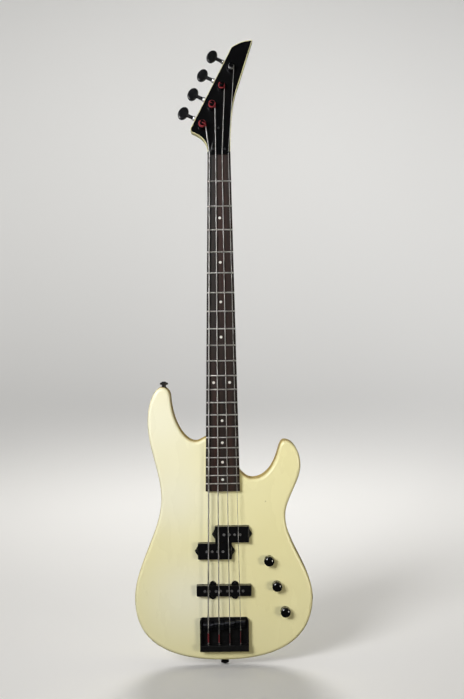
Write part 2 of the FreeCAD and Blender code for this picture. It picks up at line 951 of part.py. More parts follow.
# Body
def outline_edges(marks):
    # Each mark is x, y, heading in degrees and the fullness of the curve that leaves it; a curve's
    # handles are that share of its span along each end's heading.
    edges = []
    for (x0, y0, turn0, full), (x1, y1, turn1, _) in zip(marks, marks[1:] + marks[:1]):
        start = V(x0, y0, 0)
        end = V(x1, y1, 0)
        out = V(math.cos(math.radians(turn0)), math.sin(math.radians(turn0)), 0)
        into = V(math.cos(math.radians(turn1)), math.sin(math.radians(turn1)), 0)
        chord = end - start
        curve = Part.BezierCurve()
        first = start + out * (full * abs(chord.dot(out)))
        last = end - into * (full * abs(chord.dot(into)))
        curve.setPoles([start, first, last, end])
        edges.append(curve.toShape())
    return edges


def body_outline():
    return Part.Wire(outline_edges([
        (0, 0, 180, end_fullness),
        (-bout_bass, bout_bass_y, 90, wave_fullness),
        (-waist_bass, waist_bass_y, 90, wave_fullness),
        (-horn_bass, board_end + horn_bass_rise, 90, tip_fullness),
        (-tip_bass, board_end + tip_bass_rise, 0, tip_fullness),
        (-inner_bass, board_end + inner_bass_rise, inner_bass_turn, cutaway_fullness),
        (-cutaway_bass, board_end + cutaway_bass_rise, 0, wave_fullness),
        (-heel_bass, board_end + heel_bass_rise, 0, wave_fullness),
        (cutaway_treble, board_end + cutaway_treble_rise, 0, cutaway_fullness),
        (inner_treble, board_end + inner_treble_rise, inner_treble_turn, tip_fullness),
        (tip_treble, board_end + tip_treble_rise, 0, tip_fullness),
        (horn_treble, board_end + horn_treble_rise, -90, wave_fullness),
        (waist_treble, waist_treble_y, -90, wave_fullness),
        (bout_treble, bout_treble_y, -90, bout_fullness),
    ]))


def edge_reach(y):
    # How far the treble edge reaches at a height.
    slab = Part.Face(body_outline())
    ray = Part.makeLine(V(0, y, 0), V(2 * bout_treble, y, 0))
    return slab.common(ray).BoundBox.XMax


def make_body():
    slab = prism(body_outline(), -face, face)
    rims = [e for e in slab.Edges if e.BoundBox.ZLength < 1e-3]
    slab = slab.makeFillet(edge_round, rims)
    cuts = [taper(board_end - seat_fit, board_end + 2 * heel_length, seat_fit, heel_floor, 2 * face)]
    cuts += pickup_cavities()
    cuts += control_cuts()
    cuts += jack_cuts()
    for x, y in neck_screw_places():
        cuts.append(rod(x, y, neck_screw_radius + screw_fit, -2 * face, face))
        cuts.append(rod(x, y, cup_radius + screw_fit, -2 * face, -face + cup_thickness))
    for x in bridge_screw_places():
        cuts.append(rod(x, rear_wall + bridge_screw_setback, bridge_screw_radius + screw_fit,
                        bridge_top - bridge_screw_length - screw_fit, face))
    cuts.append(rod_along(V(0, -overrun, 0), V(0, button_screw_length, 0), button_screw_radius + screw_fit))
    seat = horn_seat()
    cuts.append(rod_along(seat, seat + V(0, 2 * horn_seat_depth, 0), button_base + seat_fit))
    cuts.append(rod_along(seat - V(0, button_screw_length, 0), seat, button_screw_radius + screw_fit))
    return slab.cut(cuts)


def make_neck_fixings():
    sink = countersink(neck_screw_head, neck_screw_head_height, neck_screw_radius, 2 * cup_thickness)
    cup = rod(0, 0, cup_radius, 0, cup_thickness).cut(turned_to(sink, V(1, 0, 0), 180))
    length = body_thickness - pocket_depth + neck_screw_bite
    screw = flat_screw(neck_screw_head, neck_screw_head_height, neck_screw_radius, length)
    screw = turned_to(screw, V(1, 0, 0), 180)
    for x, y in neck_screw_places():
        add("neck_cups", placed(cup, x, y, -face))
        add("neck_screws", placed(screw, x, y, -face))


# Strap buttons
def horn_seat():
    # Sunk into the outline a little past the horn's tip.
    x = horn_button_inset - tip_bass
    ray = Part.makeLine(V(x, 0, 0), V(x, 2 * (board_end + tip_bass_rise), 0))
    top = Part.Face(body_outline()).common(ray).BoundBox.YMax
    return V(x, top - horn_seat_depth, 0)


def make_strap_buttons():
    bore = button_screw_radius + screw_fit
    rise = button_base_height + button_waist_height
    height = rise + button_head_height
    button = turned((bore, 0), (button_base, 0), (button_base, button_base_rim),
                    (button_waist, button_base_height), (button_waist, rise - button_flare),
                    (button_head, rise), (button_head, height - button_edge), (button_top, height),
                    (bore, height))
    length = height + button_screw_length - overrun
    screw = pan_screw(button_screw_head, button_screw_head_height, button_screw_radius, length)
    pair = [("strap_buttons", button), ("strap_button_screws", placed(screw, 0, 0, height))]
    seat = horn_seat()
    for node, shape in pair:
        up = turned_to(shape, V(1, 0, 0), -90)
        add(node, turned_to(shape, V(1, 0, 0), 90), placed(up, seat.x, seat.y, seat.z))


# Truss rod
def cover_screw_places():
    base = cover_base / 2 - cover_screw_inset
    low = cover_gap + cover_screw_inset
    return [(-base, low), (base, low), (0, cover_gap + cover_length - cover_screw_inset)]


def make_truss_rod():
    start = V(0, board_end + rod_stop, board_base - rod_depth)
    end = V(0, head_foot + rod_nut_start + rod_nut_length, board_base - rod_depth)
    nut_start = V(0, head_foot + rod_nut_start, board_base - rod_depth)
    nut = rod_along(nut_start, end, rod_nut_radius).cut(rod_along(start, end, rod_radius))
    add("truss_rod", rod_along(start, end, rod_radius), nut)
    a = cover_base / 2
    b = cover_top / 2
    top = cover_gap + cover_length
    plan = polygon([(-a, cover_gap), (a, cover_gap), (b, top), (-b, top)])
    plate = prism(plan, 0, cover_thickness)
    rim = [e for e in plate.Edges if e.BoundBox.ZMin > cover_thickness - 1e-3]
    plate = plate.makeChamfer(cover_bevel, rim)
    holes = [placed(small_pilot, x, y, cover_thickness) for x, y in cover_screw_places()]
    add("truss_rod_cover", on_head(plate.cut(holes)))
    for x, y in cover_screw_places():
        add("small_screws", on_head(placed(small_screw, x, y, cover_thickness)))


# Tuners, in the tuner frame
def lug_places():
    middle = -worm_offset / 2
    return [(-lug_reach, middle - lug_spread / 2), (-lug_reach, middle + lug_spread / 2)]


def tooth_half(radius):
    flank = math.tan(math.radians(tooth_flank))
    return tooth_share * gear_pitch / 2 + (gear_radius - radius) * flank


def make_gear():
    root = gear_radius - tooth_dedendum
    tip = gear_radius + tooth_addendum
    points = []
    for tooth in range(gear_teeth):
        middle = -math.pi / 2 + 2 * math.pi * tooth / gear_teeth
        for radius, side in ((root, -1), (tip, -1), (tip, 1), (root, 1)):
            angle = middle + side * tooth_half(radius) / radius
            points.append((radius * math.cos(angle), radius * math.sin(angle)))
    return prism(polygon(points), gear_level - gear_thickness / 2, gear_level + gear_thickness / 2)


def make_post():
    foot = housing_floor - housing_back / 2
    gear_low = gear_level - gear_thickness / 2
    seat = bushing_flange_height + running_fit
    post = turned((0, foot), (post_pivot, foot), (post_pivot, gear_low), (post_radius, gear_low),
                  (post_radius, seat), (post_collar, seat), (post_collar, post_collar_top),
                  (post_waist, post_collar_top), (post_waist, post_waist_top),
                  (post_cap, post_waist_top + post_flare), (post_cap, post_top - post_chamfer),
                  (post_cap - post_chamfer, post_top), (0, post_top))
    slot_floor = post_top - post_slot_depth
    slot = box(-2 * post_cap, 2 * post_cap, -post_slot / 2, post_slot / 2, slot_floor, post_top + overrun)
    well = rod(0, 0, post_slot / 2, post_collar_top, post_top + overrun)
    gear_bore = rod(0, 0, post_radius, gear_level - gear_thickness, gear_level + gear_thickness)
    return [post.cut([slot, well]), make_gear().cut(gear_bore)]


def make_bushing():
    bore = post_radius + running_fit
    return turned((bore, -bushing_length), (bushing_radius, -bushing_length), (bushing_radius, 0),
                  (bushing_flange, 0), (bushing_flange, bushing_flange_height - bushing_bevel),
                  (bushing_flange - bushing_bevel, bushing_flange_height), (bore, bushing_flange_height))


def make_worm():
    # The thread faces the gear with a gap where the gear has a tooth.
    tip = worm_radius + tooth_addendum
    root = worm_radius - tooth_dedendum
    flank = math.tan(math.radians(tooth_flank))
    pitch_half = tooth_share * gear_pitch / 2
    tip_half = pitch_half - tooth_addendum * flank
    sunk = root / 4
    root_half = pitch_half + (tooth_dedendum + sunk) * flank
    inner = root - sunk
    corners = [V(inner, 0, -root_half), V(tip, 0, -tip_half), V(tip, 0, tip_half), V(inner, 0, root_half)]
    profile = Part.makePolygon(corners + corners[:1])
    helix = Part.makeHelix(gear_pitch, worm_turns * gear_pitch, worm_radius)
    thread = helix.makePipeShell([profile], True, True)
    start = gear_pitch * (0.25 - math.ceil(worm_turns / 2))
    thread.translate(V(0, 0, start))
    ends = start - gear_pitch / 2, start + (worm_turns + 0.5) * gear_pitch
    return thread, root, ends


def make_key():
    thread, root, ends = make_worm()
    low = -housing_half_length + housing_bearing / 2
    shaft = turned((0, low), (worm_shaft, low), (worm_shaft, ends[0]), (root, ends[0]), (root, ends[1]),
                   (worm_shaft, ends[1]), (worm_shaft, key_centre), (0, key_centre))
    worm = shaft.fuse(thread)
    lie = V(0, 1, 0)
    level = V(0, -worm_offset, gear_level)
    worm = placed(turned_to(worm, lie, 90), level.x, level.y, level.z)
    collar_end = key_collar_start + key_collar_length
    neck_end = key_centre - key_half_length / 2
    neck = turned((0, key_collar_start), (key_collar, key_collar_start), (key_collar, collar_end),
                  (key_neck, collar_end + key_collar_taper), (key_neck, neck_end), (0, neck_end))
    oval = Part.Wire(Part.Ellipse(V(0, 0, 0), key_half_width, key_half_length).toShape())
    paddle = prism(oval, -key_thickness / 2, key_thickness / 2)
    rims = [e for e in paddle.Edges if e.BoundBox.ZLength < 1e-3]
    paddle = paddle.makeFillet(key_round, rims)
    paddle.rotate(V(0, 0, 0), V(0, 0, 1), 90)
    paddle.translate(V(key_centre, 0, 0))
    button = turned_to(neck, lie, 90).fuse(paddle)
    bore = turned_to(rod(0, 0, worm_shaft, 0, key_centre), lie, 90)
    button = button.cut(bore)
    return [worm, placed(button, level.x, level.y, level.z)]


def make_housing():
    half = housing_half_length
    upper = gear_radius + tooth_addendum + housing_room
    lower = worm_offset + worm_radius + tooth_addendum + housing_room
    wide = 2 * half
    tall = upper + lower + 2 * housing_wall
    shift = (upper - lower) / 2
    floor = housing_floor
    shell = placed(rounded_plate(wide, tall, housing_round, floor - housing_back, -head_thickness), 0, shift)
    crest = [e for e in shell.Edges if e.BoundBox.ZMax < floor - housing_back + 1e-3]
    shell = shell.makeFillet(housing_back / 2, crest)
    gear_room = rod(0, 0, upper, floor, 0)
    worm_room = box(-half + housing_bearing, half - housing_bearing, -lower, 0, floor, 0)
    for x, y in lug_places():
        lug = capsule((x, y), (0, y), lug_radius, -head_thickness - lug_thickness, -head_thickness)
        shell = shell.fuse(lug)
    cuts = [gear_room, worm_room, rod(0, 0, post_pivot + running_fit, floor - housing_back, 0)]
    axle_start = V(-half + housing_bearing / 3, -worm_offset, gear_level)
    axle_end = V(2 * half, -worm_offset, gear_level)
    cuts.append(rod_along(axle_start, axle_end, worm_shaft + running_fit))
    for x, y in lug_places():
        cuts.append(rod(x, y, small_screw_radius + screw_fit, -2 * head_thickness, 0))
    return shell.cut(cuts)


def make_tuners():
    post = make_post()
    key = make_key()
    housing = make_housing()
    bushing = make_bushing()
    screw = turned_to(small_screw, V(1, 0, 0), 180)
    for index, name in enumerate(string_order):
        add("tuner_housings", on_post(housing, index))
        add("tuner_bushings", on_post(bushing, index))
        for x, y in lug_places():
            add("small_screws", on_post(placed(screw, x, y, -head_thickness - lug_thickness), index))
        add("tuner_post_" + name, *[on_post(solid, index) for solid in post])
        add("tuner_key_" + name, *[on_post(solid, index) for solid in key])
        joint_axes["post_" + name] = tuner_point(index, 0, 0, 0), tuner_vector(0, 0, 1)
        joint_axes["key_" + name] = tuner_point(index, 0, -worm_offset, gear_level), tuner_vector(1, 0, 0)


# Pickups
def split_places():
    return {"treble": (split_offset_x, split_treble_y), "bass": (-split_offset_x, split_bass_y)}


def split_poles():
    return [(string_x(name, split_pole_pitch), 0) for name in string_order]


def bar_poles():
    spots = []
    for name in string_order:
        middle = string_x(name, bar_pole_pitch)
        spots += [(middle - bar_pole_pair / 2, 0), (middle + bar_pole_pair / 2, 0)]
    return spots


def split_ears():
    # Screw places, half way out along each rounded ear.
    base = split_ear_base / 2
    blunted = split_ear_round * (math.hypot(base, split_ear_point) / base - 1)
    reach = split_width / 2 + (split_ear_point - blunted) / 2
    return [(-reach, 0), (reach, 0)]


def bar_ears():
    across = bar_ear_spread / 2
    along = bar_length / 2 + small_screw_head + sliding_gap
    return [(sx * across, sy * along) for sx in (-1, 1) for sy in (-1, 1)]


def make_cover(width, length, poles, ears, screws):
    # A hollow cover with a skirt into the body, its ears resting on the face.
    low = face - pickup_skirt
    cover = rounded_plate(width, length, pickup_corner, low, pickup_top)
    rim = [e for e in cover.Edges if e.BoundBox.ZMin > pickup_top - 1e-3]
    cover = cover.makeFillet(pickup_round, rim)
    cover = cover.fuse(ears)
    wide = width / 2 - pickup_wall
    long = length / 2 - pickup_wall
    hollow = box(-wide, wide, -long, long, low, pickup_top - pickup_wall)
    cuts = [hollow]
    cuts += [rod(x, y, pole_radius + screw_fit, low, pickup_top + overrun) for x, y in poles]
    cuts += [rod(x, y, small_screw_radius + screw_fit, low, pickup_top) for x, y in screws]
    return cover.cut(cuts).removeSplitter()


def make_pickup(node, x, y, width, length, poles, ears, ear_height, screws):
    add(node, placed(make_cover(width, length, poles, ears, screws), x, y))
    side = pickup_wall + coil_gap
    roof = pickup_top - pickup_wall
    coil = rounded_plate(width - 2 * side, length - 2 * side, pickup_corner, coil_base, roof)
    holes = [rod(px, py, pole_radius, coil_base, roof) for px, py in poles]
    add("pickup_coils", placed(coil.cut(holes), x, y))
    top = pickup_top + pole_proud
    for px, py in poles:
        add("pickup_poles", placed(rod(px, py, pole_radius, max(coil_base, top - pole_length), top), x, y))
    pad = rounded_plate(width - 2 * foam_inset, length - 2 * side, pickup_corner, cavity_floor, coil_base)
    add("pickup_foam", placed(pad, x, y))
    for sx, sy in screws:
        add("small_screws", placed(small_screw, x + sx, y + sy, face + ear_height))


def make_pickups():
    half = split_width / 2
    base = split_ear_base / 2
    tip = half + split_ear_point
    rim = polygon([(-tip, 0), (-half, -base), (half, -base), (tip, 0), (half, base), (-half, base)])
    tab = prism(rim, face, face + split_ear_height)
    points = [e for e in tab.Edges if e.BoundBox.ZLength > 1e-3 and abs(e.CenterOfMass.x) > tip - 1e-3]
    tab = tab.makeFillet(split_ear_round, points)
    for side, (x, y) in split_places().items():
        make_pickup("pickup_cover_split_" + side, x, y, split_width, split_length, split_poles(), [tab],
                    split_ear_height, split_ears())
    ears = []
    for sx in (-1, 1):
        start = (sx * bar_ear_spread / 2, -bar_ear_offset)
        end = (sx * bar_ear_spread / 2, bar_ear_offset)
        ears.append(capsule(start, end, bar_ear_radius, face, face + bar_ear_height))
    make_pickup("pickup_cover_bar", 0, bar_y, bar_width, bar_length, bar_poles(), ears, bar_ear_height,
                bar_ears())


def pickup_cavities():
    # One well for each pickup; the split halves' wells run into each other where the halves pass.
    shared = split_width / 2 - split_offset_x
    cuts = [box(-shared, shared, split_bass_y, split_treble_y, cavity_floor, 2 * face)]
    sizes = [(x, y, split_width, split_length, split_ears()) for x, y in split_places().values()]
    sizes.append((0, bar_y, bar_width, bar_length, bar_ears()))
    for x, y, width, length, screws in sizes:
        well = rounded_plate(width + 2 * pickup_gap, length + 2 * pickup_gap, pickup_corner + pickup_gap,
                             cavity_floor, 2 * face)
        cuts.append(placed(well, x, y))
        for sx, sy in screws:
            cuts.append(rod(x + sx, y + sy, small_screw_radius + screw_fit, face - small_screw_length, face))
    return cuts


# Bridge
def bridge_screw_places():
    inner = [string_x(a, saddle_string_pitch) + saddle_string_pitch / 2 for a in string_order[:-1]]
    outer = bridge_width / 2 - bridge_wall - bridge_screw_head - overrun
    return inner + [-outer, outer]


def make_ball_end():
    end = ball_radius - ball_edge
    return turned((0, 0), (end, 0), (ball_radius, ball_edge), (ball_radius, ball_length - ball_edge),
                  (end, ball_length), (0, ball_length))


def make_bridge():
    half = bridge_width / 2
    rear_top = face + bridge_rear_height
    blank = bridge_length + bridge_corner
    tray = rounded_plate(bridge_width, blank, bridge_corner, face, rear_top)
    tray = placed(tray, 0, bridge_front - blank / 2)
    inner = half - bridge_wall
    tray = tray.cut([
        box(-half, half, bridge_rear - bridge_corner, bridge_rear, face, rear_top),
        box(-half, half, rear_wall, bridge_front, face + bridge_wall_height, rear_top),
        box(-inner, inner, rear_wall, bridge_front, bridge_top, rear_top),
    ])
    crest = [e for e in tray.Edges if e.BoundBox.ZMin > rear_top - 1e-3]
    rear = [e for e in tray.Edges if e.BoundBox.YMax < bridge_rear + 1e-3]
    upright = [e for e in rear if e.BoundBox.ZLength > bridge_edge]
    tray = tray.makeFillet(bridge_edge, crest + upright)
    ball = turned_to(make_ball_end(), V(1, 0, 0), 90)
    cuts = []
    for name in string_order:
        x = string_x(name, saddle_string_pitch)
        behind = V(x, bridge_rear - overrun, string_hole)
        seat = V(x, rear_wall - ball_seat, string_hole)
        ahead = V(x, rear_wall + overrun, string_hole)
        drop = V(0, 0, screw_axis - string_hole)
        cuts.append(rod_along(behind, ahead, string_radius(name) + string_hole_fit))
        cuts.append(rod_along(behind, seat, ball_radius + seat_fit))
        cuts.append(rod_along(behind + drop, ahead + drop, length_screw_radius + running_fit))
        add("string_ball_ends", placed(ball, seat.x, seat.y, seat.z))
    sink = countersink(bridge_screw_head, bridge_screw_head_height, bridge_screw_radius, bridge_screw_length)
    screw = flat_screw(bridge_screw_head, bridge_screw_head_height, bridge_screw_radius, bridge_screw_length)
    for x in bridge_screw_places():
        cuts.append(placed(sink, x, rear_wall + bridge_screw_setback, bridge_top))
        add("bridge_screws", placed(screw, x, rear_wall + bridge_screw_setback, bridge_top))
    add("bridge_base", tray.cut(cuts))


def make_saddle(name):
    x = string_x(name, saddle_string_pitch)
    y = saddle_y(name)
    centre = string_level(name, saddle_string_pitch, saddle_action)
    crest = centre - string_radius(name) + saddle_lip
    low = bridge_top + saddle_bottom_gap
    front = y + saddle_front
    rear = y - saddle_rear
    brow = V(0, front, crest - saddle_nose)
    corners = [V(0, y, crest), V(0, rear, crest - saddle_drop), V(0, rear, low), V(0, front, low), brow]
    lines = [Part.makeLine(a, b) for a, b in zip(corners, corners[1:])]
    nose = arc_edge(corners[0], V(0, 1, 0), brow)
    block = Part.Face(Part.Wire(lines + [nose])).extrude(V(saddle_width, 0, 0))
    block.translate(V(x - saddle_width / 2, 0, 0))
    line = (nut_point(name) - saddle_point(name)).normalize()
    groove_start = V(x, y, centre) - line * (2 * saddle_rear)
    groove_end = groove_start + line * (4 * saddle_rear)
    behind = V(x, rear - overrun, screw_axis)
    ahead = V(x, front + overrun, screw_axis)
    cuts = [
        rod_along(groove_start, groove_end, string_radius(name) + sliding_gap),
        rod_along(behind, ahead, length_screw_radius + running_fit),
    ]
    grubs = []
    for side in (-1, 1):
        gx = x + side * height_screw_spread / 2
        gy = y - height_screw_setback
        cuts.append(rod(gx, gy, height_screw_radius + screw_fit, 0, crest + overrun))
        top = crest - height_screw_setback
        socket = rod(gx, gy, height_screw_socket, top - 2 * height_screw_socket, top)
        grubs.append(rod(gx, gy, height_screw_radius, bridge_top, top).cut(socket))
    return [block.cut(cuts)] + grubs


def make_length_screw():
    # Axis along y from the rear wall's back, head behind it.
    low = -length_screw_head_length
    bevel = length_screw_head_bevel
    shank = rod(0, 0, length_screw_radius, 0, length_screw_reach)
    head = turned((0, low), (length_screw_head - bevel, low), (length_screw_head, low + bevel),
                  (length_screw_head, 0), (0, 0))
    slot = turned_to(cross_slot(length_screw_head, length_screw_slot, 0), V(1, 0, 0), 180)
    return turned_to(shank.fuse(head).cut(placed(slot, 0, 0, low)), V(1, 0, 0), -90)


def make_spring(name):
    start = rear_wall + spring_end_gap
    end = saddle_y(name) - saddle_rear - spring_end_gap
    x = string_x(name, saddle_string_pitch)

    def spot(turn, along):
        return V(x + spring_radius * math.cos(turn), along, screw_axis + spring_radius * math.sin(turn))

    first = start + spring_wire
    last = end - spring_wire
    quarters = 4 * spring_curls
    climb = (last - first) / (quarters + 2)
    axial = V(0, 1, 0)
    stations = [(spot(0, first), axial)]
    for quarter in range(1, quarters):
        turn = quarter * math.pi / 2
        along = first + climb * (quarter + 1)
        heading = V(-spring_radius * math.sin(turn), climb * 2 / math.pi, spring_radius * math.cos(turn))
        stations.append((spot(turn, along), heading.normalize()))
    stations.append((spot(quarters * math.pi / 2, last), axial))
    coil = winding_edges(stations)
    lead_in = Part.makeLine(spot(0, start), spot(0, first))
    lead_out = Part.makeLine(spot(0, last), spot(0, end))
    edges = [lead_in] + coil + [lead_out]
    print("intonation spring %s, least gap %.2f mm" % (name, self_gap(edges, spring_wire / 2)))
    return tube(edges, spring_wire / 2)


def make_saddles():
    screw = make_length_screw()
    for name in string_order:
        x = string_x(name, saddle_string_pitch)
        add("saddle_" + name, *make_saddle(name))
        add("length_screw_" + name, placed(screw, x, bridge_rear - running_fit, screw_axis))
        add("length_springs", make_spring(name))
        joint_axes["screw_" + name] = V(x, bridge_rear, screw_axis), V(0, 1, 0)


# Controls and jack
def control_cuts():
    first = knob_places[0]
    last = knob_places[-1]
    rim = cavity_radius + cover_rim
    cuts = [
        capsule(first, last, cavity_radius, -2 * face, cavity_top),
        capsule(first, last, rim + control_cover_gap, -2 * face, -face + control_cover_thickness),
    ]
    for x, y in knob_places:
        cuts.append(rod(x, y, pot_bushing_radius + screw_fit, cavity_top, 2 * face))
    for x, y in control_screw_places():
        cuts.append(rod(x, y, small_screw_radius + screw_fit, -face, -face + small_screw_length + screw_fit))
    for start, end in lead_channels():
        cuts.append(rod_along(start, end, channel_radius))
    return cuts


def lead_channels():
    # Drilled ways from the pickup wells to the control cavity, and between the split pickup's wells.
    treble = split_places()["treble"]
    bass = split_places()["bass"]
    first = knob_places[0]
    middle = knob_places[1]
    bar_start = V(bar_width / 2 - foam_inset / 2, bar_y, channel_height)
    split_start = V(treble[0] + split_width / 2 - foam_inset / 2, treble[1], channel_height)
    return [
        (bar_start, V(middle[0], bar_y, channel_height)),
        (split_start, V(first[0], first[1], channel_height)),
        (V(0, treble[1], channel_height), V(0, bass[1], channel_height)),
    ]


def make_leads():
    # From under each coil down into its channel and on to the side of a pot; then socket to tone pot.
    can_level = cavity_top - pot_body_height / 2
    ways = lead_channels()
    for (start, end), (x, y) in zip(ways[:2], (knob_places[1], knob_places[0])):
        along = (end - start).normalize()
        exit_point = start + along * ((end - start).Length - cavity_radius)
        pot = V(x, y, can_level)
        away = (exit_point - pot)
        away.z = 0
        landing = pot + away.normalize() * (pot_body_radius + lead_radius / 2)
        points = [V(start.x, start.y, coil_base), start, exit_point, landing]
        add("wiring", tube(bent_edges(points, lead_bend), lead_radius))
    x, y = knob_places[-1]
    socket = V(jack_floor() - jack_body_length - seat_fit, jack_y, 0)
    pot = V(x, y + pot_body_radius + seat_fit, can_level)
    points = [socket, V(pot.x, jack_y, 0), V(pot.x, jack_y, can_level), pot]
    add("wiring", tube(bent_edges(points, lead_bend), lead_radius))


def control_screw_places():
    first = V(knob_places[0][0], knob_places[0][1], 0)
    last = V(knob_places[-1][0], knob_places[-1][1], 0)
    along = (last - first).normalize()
    across = V(-along.y, along.x, 0)
    out = cavity_radius + cover_rim / 2
    spots = [first - along * out, last + along * out]
    middle = (first + last) * 0.5
    spots += [middle + across * out, middle - across * out]
    return [(spot.x, spot.y) for spot in spots]


def make_knob():
    shoulder = knob_height - knob_dome
    return turned((0, 0), (knob_radius, 0), (knob_radius, knob_foot), (knob_waist, knob_foot + knob_lift),
                  (knob_top_radius, shoulder), dome(knob_top_radius, shoulder, knob_dome))


def make_controls():
    nut_base = face + pot_washer_height
    nut_top = nut_base + pot_nut_height
    knob_base = face + knob_lift
    shaft_top = knob_base + pot_shaft_grip
    knob = make_knob()
    well = rod(0, 0, pot_nut_radius + 2 * sliding_gap, -overrun, nut_top - knob_base + sliding_gap)
    bore = rod(0, 0, pot_shaft_radius, 0, pot_shaft_grip)
    knob = knob.cut([well, bore])
    washer = rod(0, 0, pot_nut_radius, face, nut_base)
    nut = prism(hexagon(pot_nut_radius), nut_base, nut_top)
    sleeve = rod(0, 0, pot_bushing_radius, cavity_top, nut_top)
    can = rod(0, 0, pot_body_radius, cavity_top - pot_body_height, cavity_top)
    shaft_foot = cavity_top - pot_body_height / 2
    pot = can.fuse(sleeve).cut(rod(0, 0, pot_shaft_radius + running_fit, shaft_foot, 2 * face))
    shaft = rod(0, 0, pot_shaft_radius, shaft_foot, shaft_top)
    hole = rod(0, 0, pot_bushing_radius, 0, 2 * face)
    for name, (x, y) in zip(knob_names, knob_places):
        add("knob_" + name, placed(knob, x, y, knob_base))
        add("pot_shaft_" + name, placed(shaft, x, y))
        add("pot_bodies", placed(pot, x, y))
        add("pot_nuts", placed(washer.cut(hole), x, y), placed(nut.cut(hole), x, y))
        joint_axes["knob_" + name] = V(x, y, face), V(0, 0, 1)
    first = knob_places[0]
    last = knob_places[-1]
    plate = capsule(first, last, cavity_radius + cover_rim, -face, -face + control_cover_thickness)
    holes = [rod(x, y, small_screw_radius + screw_fit, -2 * face, 0) for x, y in control_screw_places()]
    add("control_cover", plate.cut(holes))
    screw = turned_to(small_screw, V(1, 0, 0), 180)
    for x, y in control_screw_places():
        add("small_screws", placed(screw, x, y, -face))
    can_low = cavity_top - pot_body_height
    x, y = knob_places[-1]
    start = V(x - capacitor_length / 2, y, can_low - capacitor_radius)
    add("tone_capacitor", rod_along(start, start + V(capacitor_length, 0, 0), capacitor_radius))


def jack_floor():
    return edge_reach(jack_y) - jack_recess


def jack_cuts():
    floor = jack_floor()
    deep = knob_places[-1][0]
    return [
        rod_along(V(floor, jack_y, 0), V(floor + 4 * jack_recess, jack_y, 0), jack_plate_radius + seat_fit),
        rod_along(V(deep, jack_y, 0), V(floor, jack_y, 0), jack_well_radius),
    ]


def make_jack():
    floor = jack_floor()
    plate_top = jack_plate_thickness
    nut_top = plate_top + jack_nut_height
    mouth = nut_top + jack_sleeve_proud
    sleeve_hole = rod(0, 0, jack_sleeve + screw_fit, -overrun, plate_top + overrun)
    plate = rod(0, 0, jack_plate_radius, 0, plate_top).cut(sleeve_hole)
    sleeve = rod(0, 0, jack_sleeve, -overrun, mouth)
    nut = prism(hexagon(jack_nut_radius), plate_top, nut_top).cut(sleeve)
    socket = sleeve.fuse(rod(0, 0, jack_body_radius, -jack_body_length, 0))
    socket = socket.cut(rod(0, 0, jack_bore, -jack_body_length + jack_end_wall, mouth + overrun))

    def on_edge(shape):
        return placed(turned_to(shape, V(0, 1, 0), 90), floor, jack_y, 0)

    add("jack_plate", on_edge(plate))
    add("jack_nut", on_edge(nut))
    add("jack_socket", on_edge(socket))
    print("jack mouth at x %.3f, y %.3f" % (floor + mouth, jack_y))


def save(node, solids):
    whole = Part.makeCompound(solids)
    whole.rotate(V(0, 0, 0), V(1, 0, 0), 90)
    whole.exportStep(os.path.join("parts", node + ".step"))


def main():
    add("body", make_body())
    add("neck", make_neck())
    add("headstock_face", on_head(make_face_plate()))
    make_fretboard()
    add("nut", make_nut())
    make_truss_rod()
    make_neck_fixings()
    make_strap_buttons()
    make_tuners()
    for name in string_order:
        add("string_" + name, make_string(name))
    make_pickups()
    make_bridge()
    make_saddles()
    make_controls()
    make_jack()
    make_leads()
    os.makedirs("parts", exist_ok=True)
    for node, solids in parts.items():
        for solid in solids:
            if not solid.isValid() or len(solid.Solids) != 1:
                print("look at", node, solid.isValid(), len(solid.Solids))
        save(node, solids)
    for name, (origin, axis) in joint_axes.items():
        print("axis %s at %.4f %.4f %.4f along %.6f %.6f %.6f" % ((name,) + tuple(origin) + tuple(axis)))
    print(len(parts), "nodes")


main()
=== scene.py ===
import json
import bpy
import numpy as np
from mathutils import Matrix


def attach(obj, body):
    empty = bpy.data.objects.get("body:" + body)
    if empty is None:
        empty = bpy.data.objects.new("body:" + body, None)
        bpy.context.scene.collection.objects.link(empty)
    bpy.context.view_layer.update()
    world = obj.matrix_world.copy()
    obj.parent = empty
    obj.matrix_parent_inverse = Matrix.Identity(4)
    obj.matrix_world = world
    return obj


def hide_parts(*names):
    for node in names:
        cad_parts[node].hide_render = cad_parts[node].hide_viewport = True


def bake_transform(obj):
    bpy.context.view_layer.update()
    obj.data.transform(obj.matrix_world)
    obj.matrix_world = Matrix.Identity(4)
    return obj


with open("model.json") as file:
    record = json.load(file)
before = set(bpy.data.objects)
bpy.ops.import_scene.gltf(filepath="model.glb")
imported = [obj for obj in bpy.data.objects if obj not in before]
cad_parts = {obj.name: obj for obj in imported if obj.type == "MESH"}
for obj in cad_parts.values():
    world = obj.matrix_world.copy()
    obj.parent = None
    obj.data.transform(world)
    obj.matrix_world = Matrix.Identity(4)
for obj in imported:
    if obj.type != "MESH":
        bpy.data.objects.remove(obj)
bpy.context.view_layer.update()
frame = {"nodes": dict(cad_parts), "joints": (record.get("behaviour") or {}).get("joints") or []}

mm = 0.001
fullTurn = 2 * np.pi
stringNames = "eadg"
middleString = (len(stringNames) - 1) / 2
print("bass: frame loaded with", len(frame["nodes"]), "solids")


# Shared helpers for meshes and finishes

def upright(points):
    # The lying drawing to the standing bass: x stays, the height off the face turns to -y, the length to z.
    points = np.asarray(points, float)
    return np.stack([points[..., 0], -points[..., 2], points[..., 1]], -1) * mm


def unit(vectors):
    # Each vector divided by its own length.
    return vectors / np.linalg.norm(vectors, axis=-1, keepdims=True)


